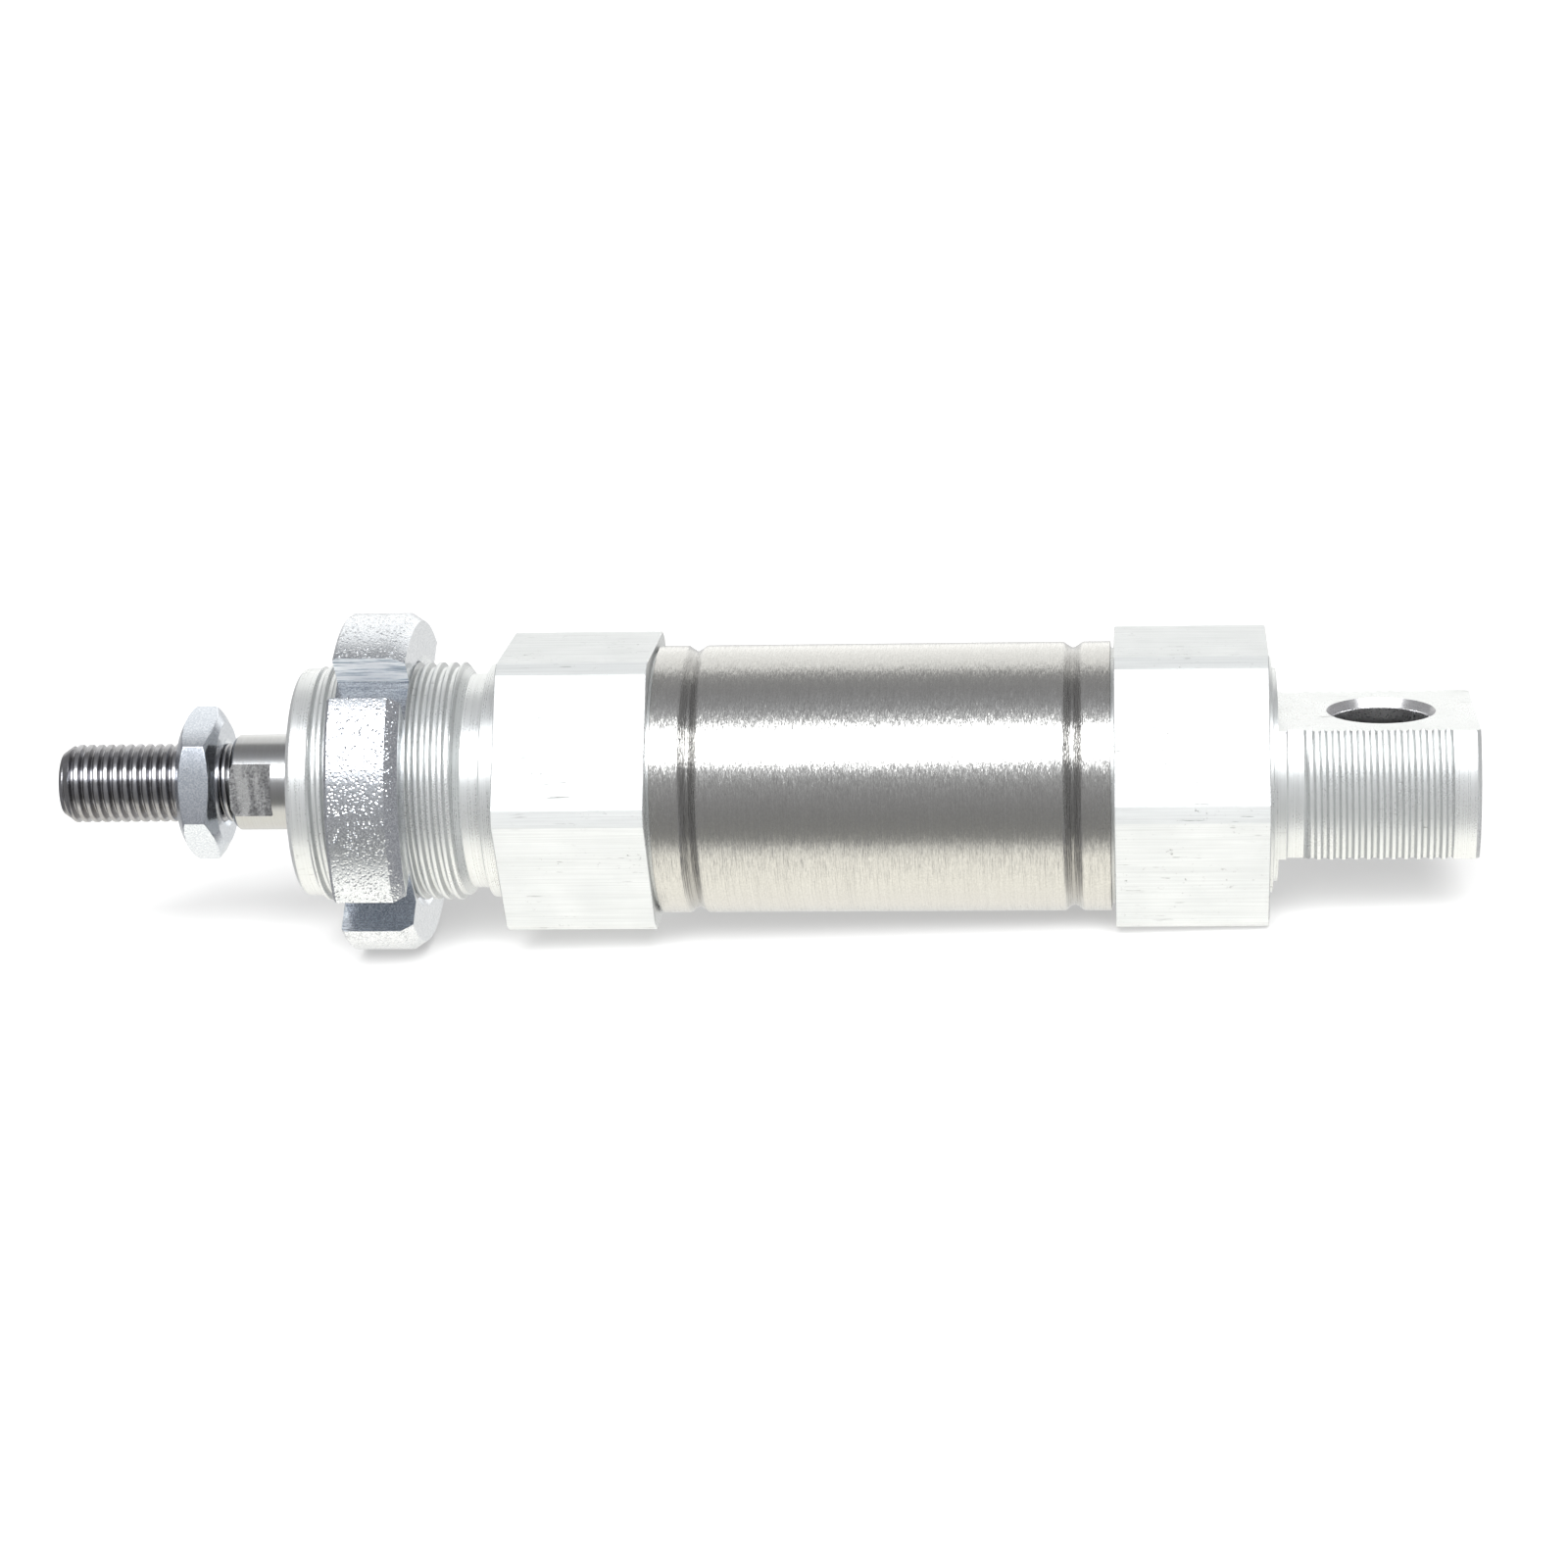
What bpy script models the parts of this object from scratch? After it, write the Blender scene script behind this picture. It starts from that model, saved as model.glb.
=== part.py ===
"""Round pneumatic cylinder, 32 mm bore and 25 mm stroke, drawn with its rod retracted.

Lengths are in millimetres here and are turned into metres when a shape is made.
X runs along the cylinder: 0 is the end face of the rear eye, and the rod points towards -X.
Z is the axis of the pin hole in the eye. Turned profiles are lists of (x, radius) points that
run from the rear to the front along the outer side.
"""
import math

import bmesh
import bpy
from mathutils import Matrix, Vector

MM = 0.001
ROUND = 36              # facets of the large turned pieces
SMALL_ROUND = 24        # facets of the rod and of drilled holes
RING_SECTION = 8        # facets of an O-ring's section
MERGE = 1e-5

# stations along the axis
PIN_HOLE_X = -11.4
EYE_LAND_END = -3.2
EYE_THREAD_END = -21.2
EYE_RELIEF_END = -23.2
EYE_FLATS_END = -24.2
EYE_BOSS_BACK = -24.8
REAR_HEX_BACK = -25.3
REAR_HEX_FRONT = -44.0
FRONT_HEX_BACK = -100.6
FRONT_HEX_FRONT = -119.3
NOSE_COLLAR_END = -121.4
NOSE_RELIEF_END = -123.8
NOSE_THREAD_END = -141.9
NOSE_FRONT = -145.4
NUT_BACK = -130.3
NUT_LENGTH = 8.9
LOCK_NUT_BACK = -155.5
LOCK_NUT_LENGTH = 5.0
ROD_SHOULDER = -154.2
ROD_THREAD_LENGTH = 22.0

# tube, caps and eye
BORE_RADIUS = 16.0
TUBE_RADIUS = 16.65
TUBE_END_GAP = 0.4
HEX_FLATS = 34.0        # across flats
HEX_CORNER_RADIUS = 19.02
HEX_EDGE_RADIUS = 18.3
HEX_EDGE = 0.45
SPIGOT_RADIUS = 15.85
SPIGOT_LENGTH = 9.4
CRIMP_OFFSET = 5.0      # from the hexagon's shoulder to the middle of the rolled groove
CRIMP_DEPTH = 0.75
EYE_RADIUS = 13.24
EYE_WIDTH = 16.0
PIN_HOLE_RADIUS = 6.0
HOLE_CHAMFER = 0.5
NOSE_LAND_RADIUS = 13.96

# M30 x 1.5 nose, the eye's 1.5 mm thread, and the M10 x 1.25 rod end
NOSE_CREST = 14.88
FINE_PITCH = 1.5
FINE_DEPTH = 0.92
ROD_CREST = 4.93
ROD_PITCH = 1.25
ROD_THREAD_DEPTH = 0.77

# rod and its guide
ROD_RADIUS = 6.0
ROD_SPIGOT_RADIUS = 4.0
ROD_TURN = 3.0          # degrees, wrench flats from level
WRENCH_FLATS = 10.0     # across flats
WRENCH_FLAT_LENGTH = 5.3
BUSH_RADIUS = 7.1
RUNNING_GAP = 0.1
SEAL_HOUSING_RADIUS = 9.0
SEAL_HOUSING_DEPTH = 5.0
BUSH_LENGTH = 20.6
AIR_BORE_RADIUS = 9.0
REAR_BORE_RADIUS = 5.5

# ports: G1/8 on the flats that face up and back
PORT_DRILL_RADIUS = 4.3
PORT_MOUTH_RADIUS = 5.1
PORT_ANGLE = 30.0       # degrees above +Y
FRONT_PORT_X = (FRONT_HEX_BACK + FRONT_HEX_FRONT) / 2
REAR_PORT_X = (REAR_HEX_BACK + REAR_HEX_FRONT) / 2

# piston, 25 mm stroke between the bumpers
STROKE = 25.0
BUMPER_STAND = 0.5
STOP_GAP = 0.15
BUMPER_INNER = 10.3
BUMPER_OUTER = 12.5
BUMPER_DEPTH = 1.4
PISTON_FLANGE = 0.8
SEAL_GROOVE = 2.6
MAGNET_SPACE = 3.1
PISTON_RADIUS = 15.75
SEAL_GROOVE_RADIUS = 12.6
HUB_RADIUS = 7.9
MAGNET_RADIUS = 13.4

# nuts
NUT_RADIUS = 21.1
NUT_CHAMFER = 1.0
NUT_BORE_RADIUS = 15.08
NUT_SLOT_WIDTH = 6.1
NUT_SLOT_FLOOR = 16.4
NUT_SLOT_TURN = 51.6    # degrees from -Y towards +Z
LOCK_NUT_FLATS = 17.0
LOCK_NUT_FACE_RADIUS = 7.6
LOCK_NUT_BORE_RADIUS = 5.06
LOCK_NUT_TURN = 12.0
PISTON_NUT_FLATS = 13.0

FRONT_SPIGOT_END = FRONT_HEX_BACK + SPIGOT_LENGTH
REAR_SPIGOT_END = REAR_HEX_FRONT - SPIGOT_LENGTH
PISTON_BACK = REAR_SPIGOT_END - BUMPER_STAND - STOP_GAP
PISTON_LENGTH = 4 * PISTON_FLANGE + 2 * SEAL_GROOVE + MAGNET_SPACE
PISTON_FRONT = PISTON_BACK - PISTON_LENGTH
FRONT_RIB = PISTON_FRONT + 2 * PISTON_FLANGE + SEAL_GROOVE
REAR_RIB = PISTON_BACK - 2 * PISTON_FLANGE - SEAL_GROOVE

# colour, metallic and roughness of each finish
FINISHES = {
    "anodised": ((0.80, 0.81, 0.81), 1.0, 0.34),
    "stainless": ((0.55, 0.54, 0.52), 1.0, 0.28),
    "zinc": ((0.66, 0.69, 0.74), 1.0, 0.30),
    "bright_zinc": ((0.70, 0.73, 0.78), 1.0, 0.18),
    "rod_steel": ((0.42, 0.42, 0.42), 1.0, 0.15),
    "bronze": ((0.52, 0.36, 0.20), 1.0, 0.45),
    "black_rubber": ((0.02, 0.02, 0.022), 0.0, 0.55),
    "green_rubber": ((0.03, 0.16, 0.10), 0.0, 0.50),
    "magnet": ((0.09, 0.09, 0.10), 0.6, 0.50),
    "guide_plastic": ((0.75, 0.74, 0.70), 0.0, 0.45),
    "piston_aluminium": ((0.62, 0.62, 0.62), 1.0, 0.40),
}


def clear_scene():
    """Remove every object, so that the script gives the same result in any file."""
    for obj in list(bpy.data.objects):
        bpy.data.objects.remove(obj, do_unlink=True)


def new_collection(name):
    collection = bpy.data.collections.new(name)
    bpy.context.scene.collection.children.link(collection)
    return collection


def finish_material(name, finish):
    """A Principled material for one piece."""
    colour, metallic, roughness = FINISHES[finish]
    material = bpy.data.materials.new(name)
    material.use_nodes = True
    shader = material.node_tree.nodes["Principled BSDF"]
    shader.inputs["Base Color"].default_value = (*colour, 1.0)
    shader.inputs["Metallic"].default_value = metallic
    shader.inputs["Roughness"].default_value = roughness
    material.diffuse_color = (*colour, 1.0)
    return material


def turned(name, datum, points, closed=True, facets=ROUND):
    """A profile of (x, radius) points turned about the X axis, with its origin at x = datum."""
    mesh = bpy.data.meshes.new(name)
    vertices = [(radius * MM, 0.0, (x - datum) * MM) for x, radius in points]
    edges = [(i, i + 1) for i in range(len(points) - 1)]
    if closed:
        edges.append((len(points) - 1, 0))
    mesh.from_pydata(vertices, edges, [])
    obj = bpy.data.objects.new(name, mesh)
    obj.location = (datum * MM, 0.0, 0.0)
    obj.rotation_euler = (0.0, math.pi / 2, 0.0)
    screw = obj.modifiers.new("Turn", "SCREW")
    screw.axis = "Z"
    screw.angle = 2 * math.pi
    screw.steps = facets
    screw.render_steps = facets
    screw.use_merge_vertices = True
    screw.merge_threshold = MERGE
    return obj


def ridges(start, end, crest, depth, pitch):
    """Profile points of thread ridges from the rear station to the front one."""
    count = round((start - end) / pitch)
    step = (start - end) / count
    points = []
    for turn in range(count):
        points.append((start - turn * step, crest - depth))
        points.append((start - (turn + 0.5) * step, crest))
    points.append((end, crest - depth))
    return points


def box(name, low, high):
    """A cutter box between two corners in millimetres."""
    low, high = Vector(low), Vector(high)
    bpy.ops.mesh.primitive_cube_add(size=1.0, location=(low + high) / 2 * MM)
    obj = bpy.context.active_object
    obj.name = name
    obj.scale = (high - low) * MM
    bpy.ops.object.transform_apply(location=False, rotation=False, scale=True)
    return obj


def prism(name, flats, x_back, length, turn=0.0):
    """A hexagonal bar along X. With no turn, one pair of its flats faces +Z and -Z."""
    bpy.ops.mesh.primitive_cylinder_add(vertices=6, radius=flats / math.sqrt(3) * MM,
                                        depth=length * MM)
    obj = bpy.context.active_object
    obj.name = name
    obj.data.transform(Matrix.Rotation(math.pi / 2, 4, "Y"))
    obj.data.transform(Matrix.Rotation(math.radians(turn), 4, "X"))
    obj.location = ((x_back - length / 2) * MM, 0.0, 0.0)
    return obj


def drill(name, points, location, direction):
    """A turned cutter of (height, radius) points whose own axis lies along direction."""
    obj = turned(name, 0.0, points, closed=False, facets=SMALL_ROUND)
    obj.location = Vector(location) * MM
    obj.rotation_euler = Vector(direction).to_track_quat("Z", "Y").to_euler()
    return obj


def cut(obj, cutter, operation="DIFFERENCE"):
    """Cut obj with a cutter, which is kept hidden among the cutters."""
    modifier = obj.modifiers.new(cutter.name, "BOOLEAN")
    modifier.operation = operation
    modifier.solver = "EXACT"
    modifier.object = cutter
    for collection in list(cutter.users_collection):
        collection.objects.unlink(cutter)
    CUTTERS.objects.link(cutter)
    cutter.hide_render = True
    cutter.display_type = "WIRE"


def place(obj, finish):
    """Put a finished piece in the object's collection with its own material."""
    for collection in list(obj.users_collection):
        collection.objects.unlink(obj)
    PARTS.objects.link(obj)
    obj.data.materials.clear()
    obj.data.materials.append(finish_material(obj.name + "_finish", finish))
    return obj


def settle(obj):
    """Turn the modifiers into mesh and shade the round surfaces smooth."""
    graph = bpy.context.evaluated_depsgraph_get()
    mesh = bpy.data.meshes.new_from_object(obj.evaluated_get(graph))
    obj.modifiers.clear()
    obj.data = mesh
    cleanup = bmesh.new()
    cleanup.from_mesh(mesh)
    bmesh.ops.remove_doubles(cleanup, verts=cleanup.verts, dist=MERGE / 2)
    bmesh.ops.dissolve_degenerate(cleanup, edges=cleanup.edges, dist=MERGE / 10)
    cleanup.to_mesh(mesh)
    cleanup.free()
    mesh.shade_smooth()
    mesh.set_sharp_from_angle(angle=math.radians(32))


def spigot(shoulder, toward):
    """Outer points of a cap's spigot from its shoulder inwards; toward is +1 or -1 along X."""
    offsets = (
        (CRIMP_OFFSET - 1.45, SPIGOT_RADIUS), (CRIMP_OFFSET - 1.3, SPIGOT_RADIUS - 0.85),
        (CRIMP_OFFSET + 1.3, SPIGOT_RADIUS - 0.85), (CRIMP_OFFSET + 1.45, SPIGOT_RADIUS),
        (6.8, SPIGOT_RADIUS), (6.8, SPIGOT_RADIUS - 1.7),
        (8.6, SPIGOT_RADIUS - 1.7), (8.6, SPIGOT_RADIUS),
        (SPIGOT_LENGTH - 0.3, SPIGOT_RADIUS), (SPIGOT_LENGTH, SPIGOT_RADIUS - 0.3),
    )
    return [(shoulder, SPIGOT_RADIUS)] + [(shoulder + toward * x, r) for x, r in offsets]


def bumper_seat(face, toward):
    """Points of the annular seat in a cap's inner face, from the outer wall to the inner one."""
    floor = face - toward * BUMPER_DEPTH
    return [(face, BUMPER_OUTER + 0.1), (floor, BUMPER_OUTER + 0.1),
            (floor, BUMPER_INNER - 0.1), (face, BUMPER_INNER - 0.1)]


def hexagon_zone(back, front):
    """Outer points of the round stock that the hexagon is cut from, with turned edges."""
    return [(back, HEX_EDGE_RADIUS), (back - HEX_EDGE, HEX_CORNER_RADIUS),
            (front + HEX_EDGE, HEX_CORNER_RADIUS), (front, HEX_EDGE_RADIUS)]


def port_cutter(name, x, depth_radius):
    """The drilled and chamfered port hole, from outside the flat down to depth_radius."""
    flat = HEX_FLATS / 2
    points = [(flat + 3.0, 0.0), (flat + 3.0, PORT_MOUTH_RADIUS + 3.0), (flat, PORT_MOUTH_RADIUS),
              (flat - (PORT_MOUTH_RADIUS - PORT_DRILL_RADIUS), PORT_DRILL_RADIUS),
              (depth_radius, PORT_DRILL_RADIUS), (depth_radius, 0.0)]
    angle = math.radians(PORT_ANGLE)
    return drill(name, points, (x, 0.0, 0.0), (0.0, math.cos(angle), math.sin(angle)))


def barrel_tube():
    """Thin tube with a rolled groove near each end that locks it to the caps."""
    back = REAR_HEX_FRONT - TUBE_END_GAP
    front = FRONT_HEX_BACK + TUBE_END_GAP
    outer, inner = [(back, TUBE_RADIUS)], [(back, BORE_RADIUS)]
    for middle in (REAR_HEX_FRONT - CRIMP_OFFSET, FRONT_HEX_BACK + CRIMP_OFFSET):
        for offset, depth in ((1.05, 0.0), (0.5, CRIMP_DEPTH), (-0.5, CRIMP_DEPTH), (-1.05, 0.0)):
            outer.append((middle + offset, TUBE_RADIUS - depth))
            inner.append((middle + offset * 1.1, BORE_RADIUS - depth))
    outer.append((front, TUBE_RADIUS))
    inner.append((front, BORE_RADIUS))
    place(turned("barrel_tube", back, outer + inner[::-1]), "stainless")


def front_cap():
    """Hexagonal cap with the threaded nose that carries the rod's bush and seal."""
    face = FRONT_SPIGOT_END
    bush_back = NOSE_FRONT + SEAL_HOUSING_DEPTH + BUSH_LENGTH
    housing = NOSE_FRONT + SEAL_HOUSING_DEPTH
    bush_bore = BUSH_RADIUS + RUNNING_GAP
    points = spigot(FRONT_HEX_BACK, 1)[::-1]
    points += hexagon_zone(FRONT_HEX_BACK, FRONT_HEX_FRONT)
    points += [(FRONT_HEX_FRONT, NOSE_CREST - 0.3), (NOSE_COLLAR_END, NOSE_CREST - 0.3),
               (NOSE_COLLAR_END, NOSE_CREST - 1.48), (NOSE_RELIEF_END, NOSE_CREST - 1.48)]
    points += ridges(NOSE_RELIEF_END, NOSE_THREAD_END, NOSE_CREST, FINE_DEPTH, FINE_PITCH)
    points += [(NOSE_FRONT + 0.5, NOSE_LAND_RADIUS), (NOSE_FRONT, NOSE_LAND_RADIUS - 0.5),
               (NOSE_FRONT, SEAL_HOUSING_RADIUS), (housing, SEAL_HOUSING_RADIUS),
               (housing, bush_bore), (bush_back, bush_bore), (bush_back, AIR_BORE_RADIUS),
               (face, AIR_BORE_RADIUS)]
    points += bumper_seat(face, 1)[::-1]
    cap = turned("front_cap", FRONT_HEX_FRONT, points)
    cut(cap, prism("front_hexagon", HEX_FLATS, 10.0, 220.0), "INTERSECT")
    cut(cap, port_cutter("front_port_hole", FRONT_PORT_X, AIR_BORE_RADIUS - 1.5))
    place(cap, "anodised")


def rear_cap():
    """Hexagonal cap in one piece with the threaded, flat-sided eye."""
    face = REAR_SPIGOT_END
    points = [(0.0, 0.0), (0.0, EYE_RADIUS - 0.5), (-0.5, EYE_RADIUS), (EYE_LAND_END, EYE_RADIUS)]
    points += ridges(EYE_LAND_END, EYE_THREAD_END, EYE_RADIUS, FINE_DEPTH, FINE_PITCH)
    points += [(EYE_THREAD_END, EYE_RADIUS - 0.75), (EYE_RELIEF_END, EYE_RADIUS - 0.75),
               (EYE_RELIEF_END, EYE_RADIUS - 0.1), (EYE_BOSS_BACK, EYE_RADIUS - 0.1),
               (EYE_BOSS_BACK, NOSE_CREST - 0.3), (REAR_HEX_BACK, NOSE_CREST - 0.3)]
    points += hexagon_zone(REAR_HEX_BACK, REAR_HEX_FRONT)
    points += spigot(REAR_HEX_FRONT, -1)
    points += bumper_seat(face, -1)
    points += [(face, REAR_BORE_RADIUS), (REAR_PORT_X + 4.0, REAR_BORE_RADIUS),
               (REAR_PORT_X + 5.6, 0.0)]
    cap = turned("rear_cap", REAR_HEX_BACK, points, closed=False)
    half = EYE_WIDTH / 2
    cut(cap, prism("rear_hexagon", HEX_FLATS, 10.0, 120.0), "INTERSECT")
    cut(cap, box("eye_upper_flat", (EYE_FLATS_END, -20, half), (2, 20, 20)))
    cut(cap, box("eye_lower_flat", (EYE_FLATS_END, -20, -20), (2, 20, -half)))
    rim = PIN_HOLE_RADIUS + HOLE_CHAMFER
    hole = [(half + 2, 0.0), (half + 2, rim + 2), (half - HOLE_CHAMFER, PIN_HOLE_RADIUS),
            (HOLE_CHAMFER - half, PIN_HOLE_RADIUS), (-half - 2, rim + 2), (-half - 2, 0.0)]
    cut(cap, drill("pin_hole", hole, (PIN_HOLE_X, 0.0, 0.0), (0.0, 0.0, 1.0)))
    cut(cap, port_cutter("rear_port_hole", REAR_PORT_X, REAR_BORE_RADIUS - 1.5))
    place(cap, "anodised")


def o_ring(name, x, radius, section, finish="black_rubber", facets=ROUND):
    """A round-section ring whose centre line has the given radius."""
    points = []
    for step in range(RING_SECTION):
        angle = -2 * math.pi * (step + 0.5) / RING_SECTION
        points.append((x - section * math.sin(angle), radius + section * math.cos(angle)))
    place(turned(name, x, points[::-1], facets=facets), finish)


def body_seals_and_stops():
    """The rings that close the tube, and the elastic rings that stop the piston."""
    ring_radius = SPIGOT_RADIUS - 0.77
    o_ring("front_tube_o_ring", FRONT_HEX_BACK + 7.7, ring_radius, 0.86)
    o_ring("rear_tube_o_ring", REAR_HEX_FRONT - 7.7, ring_radius, 0.86)
    for name, face, toward in (("front_bumper", FRONT_SPIGOT_END, 1),
                               ("rear_bumper", REAR_SPIGOT_END, -1)):
        ends = sorted((face + toward * BUMPER_STAND, face - toward * (BUMPER_DEPTH - 0.1)))
        front, back = ends
        points = [(back, BUMPER_OUTER), (front, BUMPER_OUTER),
                  (front, BUMPER_INNER), (back, BUMPER_INNER)]
        place(turned(name, back, points), "green_rubber")


def rod_guide():
    """The bronze bush in the nose, and the wiper and rod seal in front of it."""
    housing = NOSE_FRONT + SEAL_HOUSING_DEPTH
    back, front = housing + BUSH_LENGTH - 0.3, housing + 0.3
    running = ROD_RADIUS + RUNNING_GAP
    bush = [(back, BUSH_RADIUS - 0.3), (back - 0.4, BUSH_RADIUS), (front + 0.4, BUSH_RADIUS),
            (front, BUSH_RADIUS - 0.3), (front, running + 0.3), (front + 0.3, running),
            (back - 0.3, running), (back, running + 0.3)]
    place(turned("rod_bush", back, bush), "bronze")
    outer = SEAL_HOUSING_RADIUS - 0.1
    back = housing - 0.1
    seal = [(back, outer), (NOSE_FRONT + 0.5, outer), (NOSE_FRONT + 0.2, outer - 0.3),
            (NOSE_FRONT + 0.2, 7.4), (NOSE_FRONT + 0.9, 7.1), (NOSE_FRONT + 0.1, 6.5),
            (NOSE_FRONT + 0.1, running), (NOSE_FRONT + 1.5, 6.9), (NOSE_FRONT + 2.8, 6.9),
            (NOSE_FRONT + 3.8, running), (back, running + 0.1)]
    place(turned("rod_wiper_seal", back, seal), "black_rubber")


def piston():
    """Two aluminium halves round a magnet, with a lip seal each and a guide ring between."""
    bore = ROD_SPIGOT_RADIUS + RUNNING_GAP
    flange, groove = PISTON_FLANGE, SEAL_GROOVE
    front = PISTON_FRONT
    ring_groove = [(front + 2.4, bore), (front + 2.4, 5.35), (front + 0.8, 5.35),
                   (front + 0.8, bore)]
    hub_back = REAR_RIB - 0.1
    points = [(hub_back, HUB_RADIUS), (FRONT_RIB, HUB_RADIUS), (FRONT_RIB, PISTON_RADIUS),
              (FRONT_RIB - flange, PISTON_RADIUS), (FRONT_RIB - flange, SEAL_GROOVE_RADIUS),
              (front + flange, SEAL_GROOVE_RADIUS), (front + flange, PISTON_RADIUS),
              (front, PISTON_RADIUS), (front, bore)]
    points += ring_groove[::-1] + [(hub_back, bore)]
    place(turned("piston_front_half", front, points), "piston_aluminium")
    o_ring("piston_o_ring", front + 1.6, 4.73, 0.57, facets=SMALL_ROUND)
    back = PISTON_BACK
    nut_seat = back - 3.3
    points = [(back, PISTON_RADIUS), (back - flange, PISTON_RADIUS),
              (back - flange, SEAL_GROOVE_RADIUS), (REAR_RIB + flange, SEAL_GROOVE_RADIUS),
              (REAR_RIB + flange, PISTON_RADIUS), (REAR_RIB, PISTON_RADIUS), (REAR_RIB, bore),
              (nut_seat, bore), (nut_seat, HUB_RADIUS), (back, HUB_RADIUS)]
    place(turned("piston_rear_half", back, points), "piston_aluminium")
    gap = 0.1
    magnet = [(REAR_RIB - gap, MAGNET_RADIUS), (FRONT_RIB + gap, MAGNET_RADIUS),
              (FRONT_RIB + gap, HUB_RADIUS + gap), (REAR_RIB - gap, HUB_RADIUS + gap)]
    place(turned("piston_magnet", FRONT_RIB, magnet), "magnet")
    wear = [(REAR_RIB - gap, BORE_RADIUS - 0.12), (FRONT_RIB + gap, BORE_RADIUS - 0.12),
            (FRONT_RIB + gap, MAGNET_RADIUS + 0.2), (REAR_RIB - gap, MAGNET_RADIUS + 0.2)]
    place(turned("piston_wear_ring", FRONT_RIB, wear), "guide_plastic")
    for name, heel, lip in (("front_piston_seal", front + flange + groove - gap, -1),
                            ("rear_piston_seal", back - flange - groove + gap, 1)):
        section = [(0.0, 15.4), (1.9, BORE_RADIUS - 0.1), (2.4, 15.6), (1.2, 14.25),
                   (2.4, 13.1), (2.1, 12.75), (0.0, 12.75)]
        points = [(heel + lip * x, radius) for x, radius in section]
        place(turned(name, heel, points if lip < 0 else points[::-1]), "black_rubber")
    nut = prism("piston_nut", PISTON_NUT_FLATS, back - 0.2, 3.0)
    bore_cut = [(back + 2, 0.0), (back + 2, bore), (back - 6, bore), (back - 6, 0.0)]
    cut(nut, turned("piston_nut_bore", back, bore_cut, closed=False, facets=SMALL_ROUND))
    place(nut, "zinc")


def piston_rod():
    """Polished rod with the piston's spigot, wrench flats and the threaded end."""
    back, shoulder = PISTON_BACK - 0.3, ROD_SHOULDER
    tip = shoulder - ROD_THREAD_LENGTH
    points = [(back, 0.0), (back, ROD_SPIGOT_RADIUS - 0.4), (back - 0.4, ROD_SPIGOT_RADIUS),
              (PISTON_FRONT - 0.1, ROD_SPIGOT_RADIUS), (PISTON_FRONT - 0.1, ROD_RADIUS - 0.3),
              (PISTON_FRONT - 0.4, ROD_RADIUS), (shoulder + 0.4, ROD_RADIUS),
              (shoulder, ROD_RADIUS - 0.4), (shoulder, ROD_CREST), (shoulder - 0.8, ROD_CREST)]
    points += ridges(shoulder - 1.0, tip + 1.4, ROD_CREST, ROD_THREAD_DEPTH, ROD_PITCH)
    points += [(tip, 3.95), (tip, 0.0)]
    rod = turned("piston_rod", shoulder, points, closed=False, facets=SMALL_ROUND)
    turn = Matrix.Rotation(math.radians(-ROD_TURN), 4, "X")
    run_out = shoulder + WRENCH_FLAT_LENGTH
    for side in (-1, 1):
        near, far = sorted((side * WRENCH_FLATS / 2, side * (ROD_RADIUS + 2)))
        slab = box(f"wrench_flat_{side}", (shoulder - 0.2, near, -8), (run_out, far, 8))
        mill = drill(f"wrench_flat_end_{side}",
                     [(far, 0.0), (far, 5.0), (near, 5.0), (near, 0.0)],
                     (run_out - 3.7, 0.0, 0.0), (0.0, 1.0, 0.0))
        for cutter in (slab, mill):
            cutter.matrix_world = turn @ cutter.matrix_basis
            cut(rod, cutter)
    place(rod, "rod_steel")


def rod_lock_nut():
    """Thin hexagon nut on the rod's thread, chamfered on both faces."""
    back, front = LOCK_NUT_BACK, LOCK_NUT_BACK - LOCK_NUT_LENGTH
    corner = LOCK_NUT_FLATS / math.sqrt(3) + 0.1
    slope = (corner - LOCK_NUT_FACE_RADIUS) * math.tan(math.radians(30))
    bore = LOCK_NUT_BORE_RADIUS
    points = [(back, LOCK_NUT_FACE_RADIUS), (back - slope, corner), (front + slope, corner),
              (front, LOCK_NUT_FACE_RADIUS), (front, bore + 0.5), (front + 0.5, bore),
              (back - 0.5, bore), (back, bore + 0.5)]
    nut = turned("rod_lock_nut", back, points)
    hexagon = prism("lock_nut_hexagon", LOCK_NUT_FLATS, back + 1, LOCK_NUT_LENGTH + 2,
                    turn=30.0 - LOCK_NUT_TURN)
    cut(nut, hexagon, "INTERSECT")
    place(nut, "bright_zinc")


def mounting_nut():
    """Round slotted nut on the nose thread."""
    back, front = NUT_BACK, NUT_BACK - NUT_LENGTH
    radius, chamfer, bore = NUT_RADIUS, NUT_CHAMFER, NUT_BORE_RADIUS
    points = [(back, radius - chamfer), (back - chamfer, radius), (front + chamfer, radius),
              (front, radius - chamfer), (front, bore + 0.7), (front + 0.7, bore),
              (back - 0.7, bore), (back, bore + 0.7)]
    nut = turned("mounting_nut", back, points)
    half = NUT_SLOT_WIDTH / 2
    for quarter in range(4):
        slot = box(f"nut_slot_{quarter}", (front - 2, -radius - 3, -half),
                   (back + 2, -NUT_SLOT_FLOOR, half))
        angle = -math.radians(NUT_SLOT_TURN + 90 * quarter)
        slot.matrix_world = Matrix.Rotation(angle, 4, "X") @ slot.matrix_basis
        cut(nut, slot)
    place(nut, "zinc")


clear_scene()
PARTS = new_collection("pneumatic_cylinder")
CUTTERS = new_collection("cutters")
barrel_tube()
front_cap()
rear_cap()
body_seals_and_stops()
rod_guide()
piston()
piston_rod()
rod_lock_nut()
mounting_nut()
bpy.context.view_layer.update()
for piece in list(PARTS.objects):
    settle(piece)
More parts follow.
